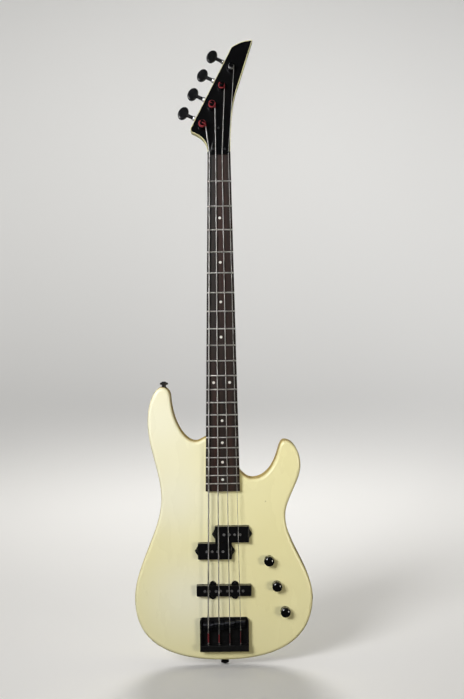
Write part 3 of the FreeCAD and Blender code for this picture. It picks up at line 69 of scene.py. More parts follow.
def lookingAt(place, direction, roll):
    # Columns right, up and back of a frame that looks along the direction, right and up turned by the roll.
    ahead = unit(np.asarray(direction, float))
    right = unit(np.cross(ahead, [0, 0, 1.0]))
    up = np.cross(right, ahead)
    matrix = np.eye(4)
    matrix[:3, 0] = np.cos(roll) * right + np.sin(roll) * up
    matrix[:3, 1] = np.cos(roll) * up - np.sin(roll) * right
    matrix[:3, 2] = -ahead
    matrix[:3, 3] = place
    return Matrix(matrix.tolist())


def gridPiece(name, grid, attributes=None):
    # Rows of points joined by quads, each row closed on itself, both ends closed by a fan to the row's mean.
    # The signed volume is the sum of a.(b x c)/6 over triangles; where it is negative all faces are turned.
    rows, columns = grid.shape[:2]
    points = np.concatenate([grid.reshape(-1, 3), grid[[0, -1]].mean(1)])
    row = np.arange(rows - 1)[:, None] * columns
    column = np.arange(columns)
    following = (column + 1) % columns
    quads = np.stack(np.broadcast_arrays(row + column, row + following, row + columns + following,
                                         row + columns + column), -1).reshape(-1, 4)
    last = (rows - 1) * columns
    start = np.stack([following, column, np.full(columns, rows * columns)], -1)
    end = np.stack([last + column, last + following, np.full(columns, rows * columns + 1)], -1)
    triangles = np.concatenate([quads[:, :3], quads[:, [0, 2, 3]], start, end])
    a, b, c = points[triangles[:, 0]], points[triangles[:, 1]], points[triangles[:, 2]]
    turn = -1 if (a * np.cross(b, c)).sum() < 0 else 1
    mesh = bpy.data.meshes.new(name)
    faces = [face[::turn] for face in quads.tolist() + start.tolist() + end.tolist()]
    mesh.from_pydata(points.tolist(), [], faces)
    mesh.polygons.foreach_set("use_smooth", np.ones(len(faces), bool))
    for key, values in (attributes or {}).items():
        perPoint = np.append(np.repeat(values, columns), [values[0], values[-1]])
        layer = mesh.attributes.new(key, "FLOAT", "POINT")
        layer.data.foreach_set("value", perPoint.astype(np.float32))
    mesh.update()
    piece = bpy.data.objects.new(name, mesh)
    bpy.context.scene.collection.objects.link(piece)
    return piece


def sweptGrid(path, radius, reference, sides):
    # A round profile carried along a path: each ring spans the two directions square to the path's tangent,
    # the first of them square to the reference axis as well.
    tangent = unit(np.gradient(path, axis=0))
    side = unit(np.cross(tangent, reference))
    rise = np.cross(side, tangent)
    angle = np.linspace(0, fullTurn, sides, endpoint=False)[None, :, None]
    ring = np.cos(angle) * side[:, None] + np.sin(angle) * rise[:, None]
    return path[:, None] + np.reshape(radius, (-1, 1, 1)) * ring


def tone(red, green, blue):
    # A written colour in bytes to linear light: ((c / 255 + 0.055) / 1.055) to the power 2.4.
    linear = ((np.array([red, green, blue]) / 255 + 0.055) / 1.055) ** 2.4
    return (*linear.tolist(), 1.0)


def addNode(material, kind, inputs=None, **settings):
    # One shader node: settings go on the node, inputs go on its sockets as values or as links.
    node = material.node_tree.nodes.new(kind)
    for key, value in settings.items():
        setattr(node, key, value)
    for socket, value in (inputs or {}).items():
        if isinstance(value, bpy.types.NodeSocket):
            material.node_tree.links.new(value, node.inputs[socket])
        else:
            node.inputs[socket].default_value = value
    return node


def newFinish(name, colour, roughness, **sockets):
    # A Principled surface with its constant sockets set, and the piece's Object coordinates.
    material = bpy.data.materials.new(name)
    material.use_nodes = True
    shader = material.node_tree.nodes["Principled BSDF"]
    shader.inputs["Base Color"].default_value = tone(*colour)
    shader.inputs["Roughness"].default_value = roughness
    for socket, value in sockets.items():
        shader.inputs[socket.replace("_", " ")].default_value = value
    coords = addNode(material, "ShaderNodeTexCoord").outputs["Object"]
    return material, shader, coords


def grainNoise(material, coords, scale, detail=3.0, stretch=(1, 1, 1), at=(0, 0, 0)):
    # Noise of the coordinates times the stretch times the scale, so a small stretch draws it out that way.
    mapped = addNode(material, "ShaderNodeMapping", {"Vector": coords, "Scale": stretch, "Location": at})
    node = addNode(material, "ShaderNodeTexNoise",
                   {"Vector": mapped.outputs["Vector"], "Scale": scale, "Detail": detail})
    return node.outputs["Fac"]


def spread(material, value, fromLow, fromHigh, toLow=0.0, toHigh=1.0, kind="LINEAR"):
    # The value moved from one span to another and held at its ends.
    node = addNode(material, "ShaderNodeMapRange",
                   {"Value": value, "From Min": fromLow, "From Max": fromHigh,
                    "To Min": toLow, "To Max": toHigh}, interpolation_type=kind, clamp=True)
    return node.outputs["Result"]


def work(material, operation, first, second=0.0):
    # One sum on two numbers or sockets.
    node = addNode(material, "ShaderNodeMath", {0: first, 1: second}, operation=operation)
    return node.outputs["Value"]


def blendTone(material, share, first, second):
    # First colour times (1 - share) plus second colour times share.
    node = material.node_tree.nodes.new("ShaderNodeMix")
    node.data_type = "RGBA"
    for socket, value in (("Factor", share), ("A", first), ("B", second)):
        target = next(s for s in node.inputs if s.name == socket and s.enabled)
        if isinstance(value, bpy.types.NodeSocket):
            material.node_tree.links.new(value, target)
        else:
            target.default_value = tone(*value)
    return next(s for s in node.outputs if s.enabled)


def feed(material, shader, socket, value):
    # A node's output linked to one socket of the surface.
    material.node_tree.links.new(value, shader.inputs[socket])


def relief(material, shader, height, strength, depth):
    # The shading normal tipped by the slope of the height, over the given depth in metres.
    node = addNode(material, "ShaderNodeBump", {"Height": height, "Strength": strength, "Distance": depth})
    feed(material, shader, "Normal", node.outputs["Normal"])


def jointNamed(name):
    # The joint of that name, with its place and axis, as the frame gives them.
    return next(joint for joint in frame["joints"] if joint["name"] == name)


def perString(stem):
    # The four names that start with the stem, one for each string.
    return [stem + name for name in stringNames]


def dress(material, *nodes):
    # The finish goes into every material slot of these solids.
    for node in nodes:
        for place in frame["nodes"][node].material_slots:
            place.material = material


# Finishes

# The pale colour and the spots it is laid round are a painted sheen on the lacquer, with some paler lacquer
# in it.
creamSettings = dict(
    # The rim colour is partly yellowed lacquer and partly painted shade on the rounded edges.
    face=(234, 228, 179), patch=(231, 223, 168), pale=(236, 233, 205), rim=(200, 176, 108),
    chip=(118, 92, 58), faceLevel=0.0208, rimLevel=0.0140, specular=0.3, coat=0.2, coatGloss=0.16,
    paintedSheenSpots=(((-0.115, -0.021, 0.45), 0.17), ((-0.09, -0.021, 0.31), 0.13), ((-0.07, -0.021, 0.12), 0.13)),
    cloudScale=5.0, cloudSpan=(0.35, 0.7), waverScale=30.0, waverSpan=(0.3, 0.7), waver=0.0006,
    speckScale=160.0, speckSpan=(0.765, 0.785),
    blemish=(0.079, -0.021, 0.2985), blemishSize=0.0018, blemishCore=0.4, blemishShade=0.45,
    raggedScale=700.0, raggedSpan=(0.3, 0.7), ragged=0.0009,
    smearScale=18.0, smearStretch=(1, 1, 0.35), smearSpan=(0.3, 0.75), gloss=(0.2, 0.34),
    peelScale=620.0, peel=0.12, peelDepth=0.0001)


def creamLacquer(name, rimmed):
    # Two creams mixed by slow noise, and a paler one that fades out with the distance from each spot: a
    # painted sheen, with some paler lacquer in it. Towards the sides of the slab, where |y| falls below the
    # face level, the
    # lacquer turns a darker yellow: partly yellowed lacquer, partly painted shade on the rounded edges. Chips
    # are cells of sparse noise kept to the rim, and one ding on the face.
    s = creamSettings
    material, shader, coords = newFinish(name, s["face"], s["gloss"][0], Specular_IOR_Level=s["specular"],
                                         Coat_Weight=s["coat"], Coat_Roughness=s["coatGloss"])
    cloud = spread(material, grainNoise(material, coords, s["cloudScale"]), *s["cloudSpan"])
    colour = blendTone(material, cloud, s["face"], s["patch"])
    if rimmed:
        # Painted sheen: the pale colour laid round each spot.
        for spot, reach in s["paintedSheenSpots"]:
            far = addNode(material, "ShaderNodeVectorMath", {0: coords, 1: spot}, operation="DISTANCE")
            near = spread(material, far.outputs["Value"], reach, 0.0, 0.0, 1.0, "SMOOTHSTEP")
            colour = blendTone(material, near, colour, s["pale"])
        parts = addNode(material, "ShaderNodeSeparateXYZ", {"Vector": coords})
        offMiddle = work(material, "ABSOLUTE", parts.outputs["Y"])
        waver = spread(material, grainNoise(material, coords, s["waverScale"]), *s["waverSpan"],
                       -s["waver"], s["waver"])
        # Painted shade on the rounded edges, with yellowed lacquer: the rim colour laid where |y| falls below
        # the face level.
        edge = spread(material, work(material, "ADD", offMiddle, waver), s["faceLevel"], s["rimLevel"],
                      kind="SMOOTHSTEP")
        colour = blendTone(material, edge, colour, s["rim"])
        speck = spread(material, grainNoise(material, coords, s["speckScale"], 2.0), *s["speckSpan"])
        colour = blendTone(material, work(material, "MULTIPLY", speck, edge), colour, s["chip"])
        away = addNode(material, "ShaderNodeVectorMath", {0: coords, 1: s["blemish"]}, operation="DISTANCE")
        ragged = spread(material, grainNoise(material, coords, s["raggedScale"]), *s["raggedSpan"],
                        -s["ragged"], s["ragged"])
        ding = spread(material, work(material, "ADD", away.outputs["Value"], ragged),
                      s["blemishSize"], s["blemishSize"] * s["blemishCore"], 0.0, s["blemishShade"])
        colour = blendTone(material, ding, colour, s["chip"])
    feed(material, shader, "Base Color", colour)
    smear = grainNoise(material, coords, s["smearScale"], 5.0, s["smearStretch"])
    feed(material, shader, "Roughness", spread(material, smear, *s["smearSpan"], *s["gloss"]))
    relief(material, shader, grainNoise(material, coords, s["peelScale"], 2.0), s["peel"], s["peelDepth"])
    return material


glossBlackSettings = dict(
    colour=(7, 7, 8), dust=(22, 22, 23), coat=0.3, coatGloss=0.05,
    dustScale=900.0, dustSpan=(0.66, 0.78), dustShare=0.6,
    smearScale=45.0, smearStretch=(1, 1, 0.5), smearSpan=(0.35, 0.7), peelScale=500.0, peel=0.05,
    peelDepth=0.0001)


def glossBlack(name, roughLow, roughHigh):
    # Deep black with grey dust where fine noise peaks; the gloss is broken by slow smears of the hand.
    s = glossBlackSettings
    material, shader, coords = newFinish(name, s["colour"], roughLow, Coat_Weight=s["coat"],
                                         Coat_Roughness=s["coatGloss"])
    dust = grainNoise(material, coords, s["dustScale"], 2.0)
    dust = spread(material, dust, *s["dustSpan"], 0.0, s["dustShare"])
    feed(material, shader, "Base Color", blendTone(material, dust, s["colour"], s["dust"]))
    smear = grainNoise(material, coords, s["smearScale"], 5.0, s["smearStretch"])
    feed(material, shader, "Roughness", spread(material, smear, *s["smearSpan"], roughLow, roughHigh))
    relief(material, shader, grainNoise(material, coords, s["peelScale"], 2.0), s["peel"], s["peelDepth"])
    return material


rosewoodSettings = dict(
    dark=(19, 16, 14), brown=(36, 29, 24), red=(58, 33, 25), pore=(11, 9, 8), specular=0.25,
    bandScale=130.0, bandStretch=(1, 1, 0.03), bandSpan=(0.32, 0.68), gloss=(0.42, 0.58),
    streakScale=55.0, streakStretch=(1, 1, 0.04), streakAt=(3, 1, 2), streakSpan=(0.42, 0.66),
    streakShare=0.6, poreScale=1300.0, poreStretch=(1, 1, 0.05), poreAt=(7, 5, 1), poreSpan=(0.56, 0.68),
    poreRelief=0.35, poreDepth=0.0002)


def rosewood(name):
    # Grain drawn out along the neck: bands mix dark and brown, broader streaks add red, and short pores
    # darken the colour and sink in the relief.
    s = rosewoodSettings
    material, shader, coords = newFinish(name, s["brown"], s["gloss"][0], Specular_IOR_Level=s["specular"])
    bands = grainNoise(material, coords, s["bandScale"], 5.0, s["bandStretch"])
    bands = spread(material, bands, *s["bandSpan"])
    streaks = grainNoise(material, coords, s["streakScale"], 5.0, s["streakStretch"], s["streakAt"])
    streaks = spread(material, streaks, *s["streakSpan"])
    pores = grainNoise(material, coords, s["poreScale"], 2.0, s["poreStretch"], s["poreAt"])
    pores = spread(material, pores, *s["poreSpan"])
    colour = blendTone(material, bands, s["dark"], s["brown"])
    colour = blendTone(material, work(material, "MULTIPLY", streaks, s["streakShare"]), colour, s["red"])
    colour = blendTone(material, pores, colour, s["pore"])
    feed(material, shader, "Base Color", colour)
    feed(material, shader, "Roughness", spread(material, bands, 0.0, 1.0, *s["gloss"]))
    relief(material, shader, work(material, "SUBTRACT", 1.0, pores), s["poreRelief"], s["poreDepth"])
    return material


metalSettings = dict(tarnishScale=90.0, tarnishSpan=(0.42, 0.72), brushSpan=(0.3, 0.7), brush=0.08,
                     brushDepth=0.00005)


def brushedMetal(name, colour, dull, roughLow, roughHigh, stretch=(1, 1, 1), scale=700.0, metallic=1.0):
    # Metal in two tones: slow noise lays the duller one on, and fine noise drawn out one way brushes
    # the gloss.
    s = metalSettings
    material, shader, coords = newFinish(name, colour, roughLow, Metallic=metallic)
    tarnish = spread(material, grainNoise(material, coords, s["tarnishScale"], 4.0), *s["tarnishSpan"])
    feed(material, shader, "Base Color", blendTone(material, tarnish, colour, dull))
    brush = grainNoise(material, coords, scale, 3.0, stretch)
    feed(material, shader, "Roughness", spread(material, brush, *s["brushSpan"], roughLow, roughHigh))
    relief(material, shader, brush, s["brush"], s["brushDepth"])
    return material


plasticSettings = dict(rubScale=60.0, rubSpan=(0.4, 0.72), grainRelief=0.2)


def mouldedPlastic(name, colour, worn, roughLow, roughHigh, grain=1400.0, depth=0.00012):
    # Plastic with a fine moulded grain in the relief, rubbed shinier and paler in slow patches.
    s = plasticSettings
    material, shader, coords = newFinish(name, colour, roughHigh)
    rub = spread(material, grainNoise(material, coords, s["rubScale"], 5.0), *s["rubSpan"])
    feed(material, shader, "Base Color", blendTone(material, rub, colour, worn))
    feed(material, shader, "Roughness", spread(material, rub, 0.0, 1.0, roughHigh, roughLow))
    relief(material, shader, grainNoise(material, coords, grain, 2.0), s["grainRelief"], depth)
    return material


pearlSettings = dict(
    milk=(222, 219, 210), shade=(192, 193, 188), blush=(218, 206, 197), coat=0.4, coatGloss=0.08,
    layerScale=420.0, layerStretch=(1, 1, 0.5), layerSpan=(0.4, 0.7), gloss=(0.18, 0.34),
    blushScale=240.0, blushStretch=(0.6, 1, 1), blushAt=(2, 4, 6), blushSpan=(0.5, 0.75))


def pearl(name):
    # Layers of shell: slow noise goes from milk white to grey, and a second noise lays a warm blush over it.
    s = pearlSettings
    material, shader, coords = newFinish(name, s["milk"], s["gloss"][0], Coat_Weight=s["coat"],
                                         Coat_Roughness=s["coatGloss"])
    layers = grainNoise(material, coords, s["layerScale"], 4.0, s["layerStretch"])
    layers = spread(material, layers, *s["layerSpan"])
    blush = grainNoise(material, coords, s["blushScale"], 3.0, s["blushStretch"], s["blushAt"])
    blush = spread(material, blush, *s["blushSpan"])
    colour = blendTone(material, layers, s["milk"], s["shade"])
    feed(material, shader, "Base Color", blendTone(material, blush, colour, s["blush"]))
    feed(material, shader, "Roughness", spread(material, layers, 0.0, 1.0, *s["gloss"]))
    return material


keySettings = dict(chrome=(248, 248, 250), button=(14, 14, 15), buttonWorn=(30, 30, 31), collarEnd=25.1,
                   edge=0.2, rubScale=140.0, rubSpan=(0.45, 0.75), gloss=(0.16, 0.34))


def tunerKey(name):
    # The place along the key shafts, which all point one way, is the coordinates' dot product with the
    # shaft's direction: short of the collar's end, measured from the post, the key is bright chrome, past
    # it a black button.
    s = keySettings
    material, shader, coords = newFinish(name, s["button"], s["gloss"][0])
    shaft = jointNamed("key_e_turn")
    chromeEnd = np.dot(shaft["pos_m"], shaft["axis"]) + s["collarEnd"] * mm
    out = addNode(material, "ShaderNodeVectorMath", {0: coords, 1: shaft["axis"]}, operation="DOT_PRODUCT")
    edge = s["edge"] * mm
    black = spread(material, out.outputs["Value"], chromeEnd - edge, chromeEnd + edge)
    rub = spread(material, grainNoise(material, coords, s["rubScale"], 4.0), *s["rubSpan"])
    button = blendTone(material, rub, s["button"], s["buttonWorn"])
    feed(material, shader, "Base Color", blendTone(material, black, s["chrome"], button))
    feed(material, shader, "Metallic", work(material, "SUBTRACT", 1.0, black))
    gloss = spread(material, work(material, "SUBTRACT", rub, black), -1.0, 1.0, *s["gloss"])
    feed(material, shader, "Roughness", gloss)
    return material


# The shade colour paints the grooves between the thread's turns; the darkest colour paints the shade that
# falls on the silk under the bridge.
silkSettings = dict(thread=(166, 48, 54), shade=(104, 24, 30), bridgeShadeColour=(20, 9, 10), wire=(164, 163, 161),
                    dull=(134, 133, 130), tarnishScale=60.0, tarnishSpan=(0.4, 0.7), wireGloss=0.38,
                    threadGloss=0.8, windRelief=0.3, windDepth=0.0001)


def woundString(name, wind):
    # Round wire wound on a core: a wave along the string's own length, one crest for each wire, is the
    # relief. Where the silk attribute is 1 the colour is red thread, painted darker in the grooves between
    # turns and darker still by painted shade under the bridge, carried in an attribute, and the metal is
    # gone.
    s = silkSettings
    material, shader, coords = newFinish(name, s["wire"], s["wireGloss"])
    along = addNode(material, "ShaderNodeAttribute", attribute_name="along").outputs["Fac"]
    silk = addNode(material, "ShaderNodeAttribute", attribute_name="silk").outputs["Fac"]
    bridgeShade = addNode(material, "ShaderNodeAttribute", attribute_name="bridgeShade").outputs["Fac"]
    crest = work(material, "SINE", work(material, "MULTIPLY", along, fullTurn / wind))
    tarnish = spread(material, grainNoise(material, coords, s["tarnishScale"], 4.0), *s["tarnishSpan"])
    wire = blendTone(material, tarnish, s["wire"], s["dull"])
    thread = blendTone(material, spread(material, crest, -1.0, 1.0), s["shade"], s["thread"])
    # Painted shade: the silk at the ball end darkened where it lies under the bridge.
    thread = blendTone(material, bridgeShade, thread, s["bridgeShadeColour"])
    feed(material, shader, "Base Color", blendTone(material, silk, wire, thread))
    feed(material, shader, "Metallic", work(material, "SUBTRACT", 1.0, silk))
    feed(material, shader, "Roughness", spread(material, silk, 0.0, 1.0, s["wireGloss"], s["threadGloss"]))
    relief(material, shader, crest, s["windRelief"], s["windDepth"])
    return material


cream = creamLacquer("cream_body_lacquer", True)
creamNeck = creamLacquer("cream_neck_lacquer", False)
blackFace = glossBlack("black_head_gloss", 0.10, 0.2)
board = rosewood("rosewood_board")
fretWire = brushedMetal("fret_wire", (226, 223, 217), (196, 191, 181), 0.34, 0.48, (0.05, 1, 1))
dotPearl = pearl("dot_pearl")
nutBlack = glossBlack("nut_black", 0.12, 0.24)
steel = brushedMetal("plain_steel", (168, 168, 170), (120, 116, 110), 0.25, 0.45)
brightScrew = brushedMetal("bright_screw", (206, 204, 198), (150, 146, 138), 0.18, 0.36)
blackMetal = brushedMetal("black_metal", (15, 15, 16), (26, 26, 26), 0.26, 0.42, metallic=0.35)
blackChrome = brushedMetal("tuner_black_chrome", (44, 44, 47), (30, 30, 32), 0.14, 0.28)
keyChrome = tunerKey("tuner_key_finish")
saddleMetal = brushedMetal("saddle_metal", (78, 79, 84), (44, 44, 46), 0.24, 0.4, (0.1, 1, 1))
coverBlack = mouldedPlastic("pickup_black", (8, 8, 9), (14, 14, 15), 0.13, 0.22, depth=0.00004)
poleSteel = brushedMetal("pole_steel", (156, 156, 158), (116, 114, 110), 0.36, 0.55)
knobBlack = glossBlack("knob_black", 0.05, 0.11)
plateBlack = mouldedPlastic("plate_black", (22, 22, 22), (34, 33, 32), 0.4, 0.6, 900.0)
brass = brushedMetal("turned_brass", (196, 160, 92), (150, 116, 62), 0.25, 0.42)
coilTape = mouldedPlastic("coil_tape", (26, 24, 22), (46, 42, 38), 0.5, 0.7, 300.0)
foam = mouldedPlastic("spring_foam", (52, 52, 54), (70, 70, 72), 0.85, 0.95, 1800.0, 0.0004)
capacitorSkin = mouldedPlastic("capacitor_skin", (128, 66, 34), (150, 86, 48), 0.3, 0.5)
wireJacket = mouldedPlastic("wire_jacket", (40, 38, 36), (150, 142, 120), 0.45, 0.6)

dress(cream, "body")
dress(creamNeck, "neck")
dress(blackFace, "headstock_face", "truss_rod_cover")
dress(board, "fretboard")
dress(fretWire, "frets")
dress(dotPearl, "position_dots")
dress(nutBlack, "nut")
dress(steel, "truss_rod", "pot_bodies", "pot_nuts", "pot_shaft_volume_p", "pot_shaft_volume_j",
      "pot_shaft_tone", "jack_socket", "jack_nut")
dress(brightScrew, "neck_screws")
dress(blackMetal, "small_screws", "neck_cups", "strap_buttons", "strap_button_screws", "bridge_base",
      "bridge_screws", "jack_plate", *perString("length_screw_"))
dress(blackChrome, "tuner_housings", "tuner_bushings", *perString("tuner_post_"))
dress(keyChrome, *perString("tuner_key_"))
dress(saddleMetal, *perString("saddle_"))
dress(coverBlack, "pickup_cover_split_treble", "pickup_cover_split_bass", "pickup_cover_bar")
dress(poleSteel, "pickup_poles")
dress(plateBlack, "control_cover")
dress(brass, "string_ball_ends")
dress(coilTape, "pickup_coils")
dress(foam, "pickup_foam")
dress(capacitorSkin, "tone_capacitor")
dress(wireJacket, "wiring")
print("bass: finishes on the solids")


# Strings, each one tube from its ball end over saddle and nut to its winding, with a tail in the post's slot

stringSettings = dict(
    diameters=(2.67, 2.16, 1.65, 1.14), turns=(2.0, 2.25, 2.5, 3.0),
    intonation=(8.0, 6.2, 4.4, 2.6), nutPitch=11.6, saddlePitch=20.0, nutAction=0.6, saddleAction=3.8,
    fretTop=31.7, crownRadius=305.0, saddleLine=77.4, saddleBack=3.0, nutPlace=942.5, rearWall=32.2,
    ballDepth=2.0, holeLevel=32.0, bend=6.0, headFoot=946.0, headTop=24.5, headTilt=10.0, edgeTilt=26.15,
    postWaist=4.2, postGap=0.3, collarTop=3.4, turnGap=1.1, slotFloor=10.6, slotGap=0.05, tailBend=1.7,
    tailFoot=5.0,
    # How strongly each string's silk at the ball end is painted with the shade under the bridge.
    ballSilk=((8, 26), (8, 24), (6, 26), (6, 30)), ballShade=(0.35, 0.4, 0.85, 0.6),
    postSilk=(1.0, 1.0, 1.0, 0.0), silkLead=6.0, wind=0.55,
    step=1.0, tailStep=0.3, sides=14, coilSteps=160, bendSteps=7, tailSteps=9)


def headSlope():
    # The headstock's tilt as a turn about x, in the lying drawing.
    tilt = np.radians(stringSettings["headTilt"])
    return np.array([[1, 0, 0], [0, np.cos(tilt), np.sin(tilt)], [0, -np.sin(tilt), np.cos(tilt)]])


def onHead(points):
    # Points drawn flat on the headstock's face, tilted back about its foot.
    s = stringSettings
    return np.array([0, s["headFoot"], s["headTop"]]) + points @ headSlope().T


def flatOnHead(points):
    # The turn back: points of the lying drawing to places on the headstock's face.
    s = stringSettings
    return (points - np.array([0, s["headFoot"], s["headTop"]])) @ headSlope()


def postCentre(index):
    # Where the axis that the post turns on meets the headstock's face.
    x, y, z = jointNamed("post_" + stringNames[index] + "_turn")["pos_m"]
    return flatOnHead(np.array([x, z, -y]) / mm)[:2]


def windingEnds(index, nut):
    # The string meets the post where its run is tangent to the winding; it ends at the mouth of the post's
    # slot, square to the tuner edge, so the turn is rounded to a whole number of half turns from there.
    s = stringSettings
    radius = s["diameters"][index] / 2
    wrap = s["postWaist"] + s["postGap"] + radius
    toPost = postCentre(index) - flatOnHead(nut)[:2]
    first = np.arctan2(toPost[1], toPost[0]) - np.arcsin(wrap / np.hypot(*toPost)) - np.pi / 2
    slot = np.pi - np.radians(s["edgeTilt"])
    halves = np.round((first + fullTurn * s["turns"][index] - slot) / np.pi)
    last = slot + np.pi * halves
    rise = (2 * radius + s["turnGap"]) * (last - first) / fullTurn
    return wrap, first, last, s["collarTop"] + s["postGap"] + radius, rise


def evenly(knots, step):
    # Points at even spacing along the chain of knots, and their distances from its start.
    length = np.append(0, np.cumsum(np.linalg.norm(np.diff(knots, axis=0), axis=1)))
    even = np.linspace(0, length[-1], int(length[-1] / step))
    return np.stack([np.interp(even, length, knots[:, axis]) for axis in range(3)], -1), even, length


def corner(before, at, after):
    # A quadratic curve round the corner, from and to points that lie bend times tan(half the turn) away.
    ahead, onward = unit(at - before), unit(after - at)
    cut = stringSettings["bend"] * np.tan(np.arccos(np.clip(ahead @ onward, -1, 1)) / 2)
    t = np.linspace(0, 1, stringSettings["bendSteps"])[:, None]
    return (1 - t) ** 2 * (at - cut * ahead) + 2 * t * (1 - t) * at + t ** 2 * (at + cut * onward)


def stringKnots(index):
    # The ball seat, the hole's end, the saddle's crown and the nut's slot, each at its own height over the
    # rounded board: the height falls by R - sqrt(R^2 - x^2) off the middle.
    s = stringSettings
    radius = s["diameters"][index] / 2
    saddleX = (index - middleString) * s["saddlePitch"]
    nutX = (index - middleString) * s["nutPitch"]

    def level(x, action):
        drop = s["crownRadius"] - np.sqrt(s["crownRadius"] ** 2 - x ** 2)
        return s["fretTop"] + action - drop + radius

    ball = np.array([saddleX, s["rearWall"] - s["ballDepth"], s["holeLevel"]])
    hole = np.array([saddleX, s["rearWall"], s["holeLevel"]])
    saddle = np.array([saddleX, s["saddleLine"] - s["intonation"][index] - s["saddleBack"],
                       level(saddleX, s["saddleAction"])])
    nut = np.array([nutX, s["nutPlace"], level(nutX, s["nutAction"])])
    return ball, hole, saddle, nut


def makeString(index, name, finish):
    # Straight runs with rounded corners, then a helix up the post: angle and level grow evenly along it.
    s = stringSettings
    radius = s["diameters"][index] / 2
    ball, hole, saddle, nut = stringKnots(index)
    wrap, first, last, low, rise = windingEnds(index, nut)
    share = np.linspace(0, 1, s["coilSteps"])
    angle = first + (last - first) * share
    x, y = postCentre(index)
    coil = onHead(np.stack([x + wrap * np.cos(angle), y + wrap * np.sin(angle), low + rise * share], -1))
    knots = np.concatenate([ball[None], corner(ball, hole, saddle), corner(hole, saddle, nut),
                            corner(saddle, nut, coil[0]), coil])
    run, even, length = evenly(knots, s["step"])
    coilStart = length[len(knots) - len(coil)]
    silkFrom, silkTo = s["ballSilk"][index]
    atBall = (even > silkFrom) & (even < silkTo)
    silk = np.maximum(atBall, (even > coilStart - s["silkLead"]) * s["postSilk"][index])
    grid = upright(sweptGrid(run, radius, headSlope() @ np.array([0, 0, 1.0]), s["sides"]))
    # The silk at the ball end carries its painted bridge shade as an attribute.
    piece = gridPiece("wound_string_" + name, grid,
                      {"along": even * mm, "silk": silk, "bridgeShade": atBall * s["ballShade"][index]})
    piece.data.materials.append(finish)
    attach(piece, "bass")
    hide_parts("string_" + name)


def makeTail(index, name, finish):
    # From the mouth of the slot straight to the post's axis, round a quarter circle and down its middle hole.
    s = stringSettings
    radius = s["diameters"][index] / 2
    nut = stringKnots(index)[-1]
    wrap, _, last, low, rise = windingEnds(index, nut)
    level = max(low + rise, s["slotFloor"] + s["slotGap"] + radius)
    quarter = np.linspace(0, np.pi / 2, s["tailSteps"])
    bend = s["tailBend"]
    out = np.concatenate([[wrap], bend * (1 - np.sin(quarter)), [0]])
    height = np.concatenate([[level], level - bend * (1 - np.cos(quarter)), [s["tailFoot"]]])
    x, y = postCentre(index)
    knots = np.stack([x + out * np.cos(last), y + out * np.sin(last), height], -1)
    run, even, _ = evenly(onHead(knots), s["tailStep"])
    across = headSlope() @ np.array([-np.sin(last), np.cos(last), 0])
    grid = upright(sweptGrid(run, radius, across, s["sides"]))
    piece = gridPiece("string_tail_" + name, grid,
                      {"along": even * mm, "silk": np.full(len(even), s["postSilk"][index])})
    piece.data.materials.append(finish)
    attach(piece, "tuner_post_" + name)


stringFinish = woundString("wound_string", stringSettings["wind"] * mm)
for stringIndex, stringName in enumerate(stringNames):
    makeString(stringIndex, stringName, stringFinish)
    makeTail(stringIndex, stringName, stringFinish)
print("bass: strings wound on their posts")


# Springs on the length screws, between the bridge's rear wall and each saddle

springSettings = dict(radius=2.2, wire=0.7, curls=11, closed=1.2, rearWall=32.3, level=27.2, saddleRear=10.6,
                      stepsPerCurl=28, sides=10, bright=(58, 58, 60), dull=(36, 36, 37), gloss=(0.24, 0.4))


def makeSprings():
    # A helix whose turn grows evenly and whose advance eases in and out, so both end curls lie close.
    s = springSettings
    finish = brushedMetal("spring_wire", s["bright"], s["dull"], *s["gloss"])
    curls = s["curls"] + s["closed"]
    t = np.linspace(0, 1, int(curls * s["stepsPerCurl"]))
    eased = np.clip((t - 0.5) * (1 + 0.5 * s["closed"] / curls) + 0.5, 0, 1)
    turn = fullTurn * curls * t
    start = s["rearWall"] + s["wire"] / 2
    for index, name in enumerate(stringNames):
        x = (index - middleString) * stringSettings["saddlePitch"]
        saddleAt = stringSettings["saddleLine"] - stringSettings["intonation"][index]
        end = saddleAt - s["saddleRear"] - s["wire"] / 2
        path = np.stack([x + s["radius"] * np.cos(turn), start + (end - start) * eased,
                         s["level"] + s["radius"] * np.sin(turn)], -1)
        grid = upright(sweptGrid(path, s["wire"] / 2, np.array([0, 1.0, 0]), s["sides"]))
        piece = gridPiece("length_spring_" + name, grid)
        piece.data.materials.append(finish)
        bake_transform(piece)
        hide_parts("length_springs")


makeSprings()
print("bass: springs on the length screws")


# Knobs: a knurled skirt under a rim and a polished dome

knobSettings = dict(
    names=("volume_p", "volume_j", "tone"), base=21.6,
    skirt=((9.0, 0.0), (9.3, 0.3), (9.3, 1.1), (9.1, 1.35), (9.0, 1.6), (9.0, 2.2), (9.1, 11.6), (9.15, 11.9),
           (9.15, 12.4), (9.05, 12.85), (8.8, 13.1)),
    domeFoot=13.25, domeRadius=8.5, domeRise=2.2, domePower=4.0, domeRows=16, domeCentre=0.03,
    knurls=56, knurlDepth=0.22, knurlBand=(2.2, 11.6), columns=224)


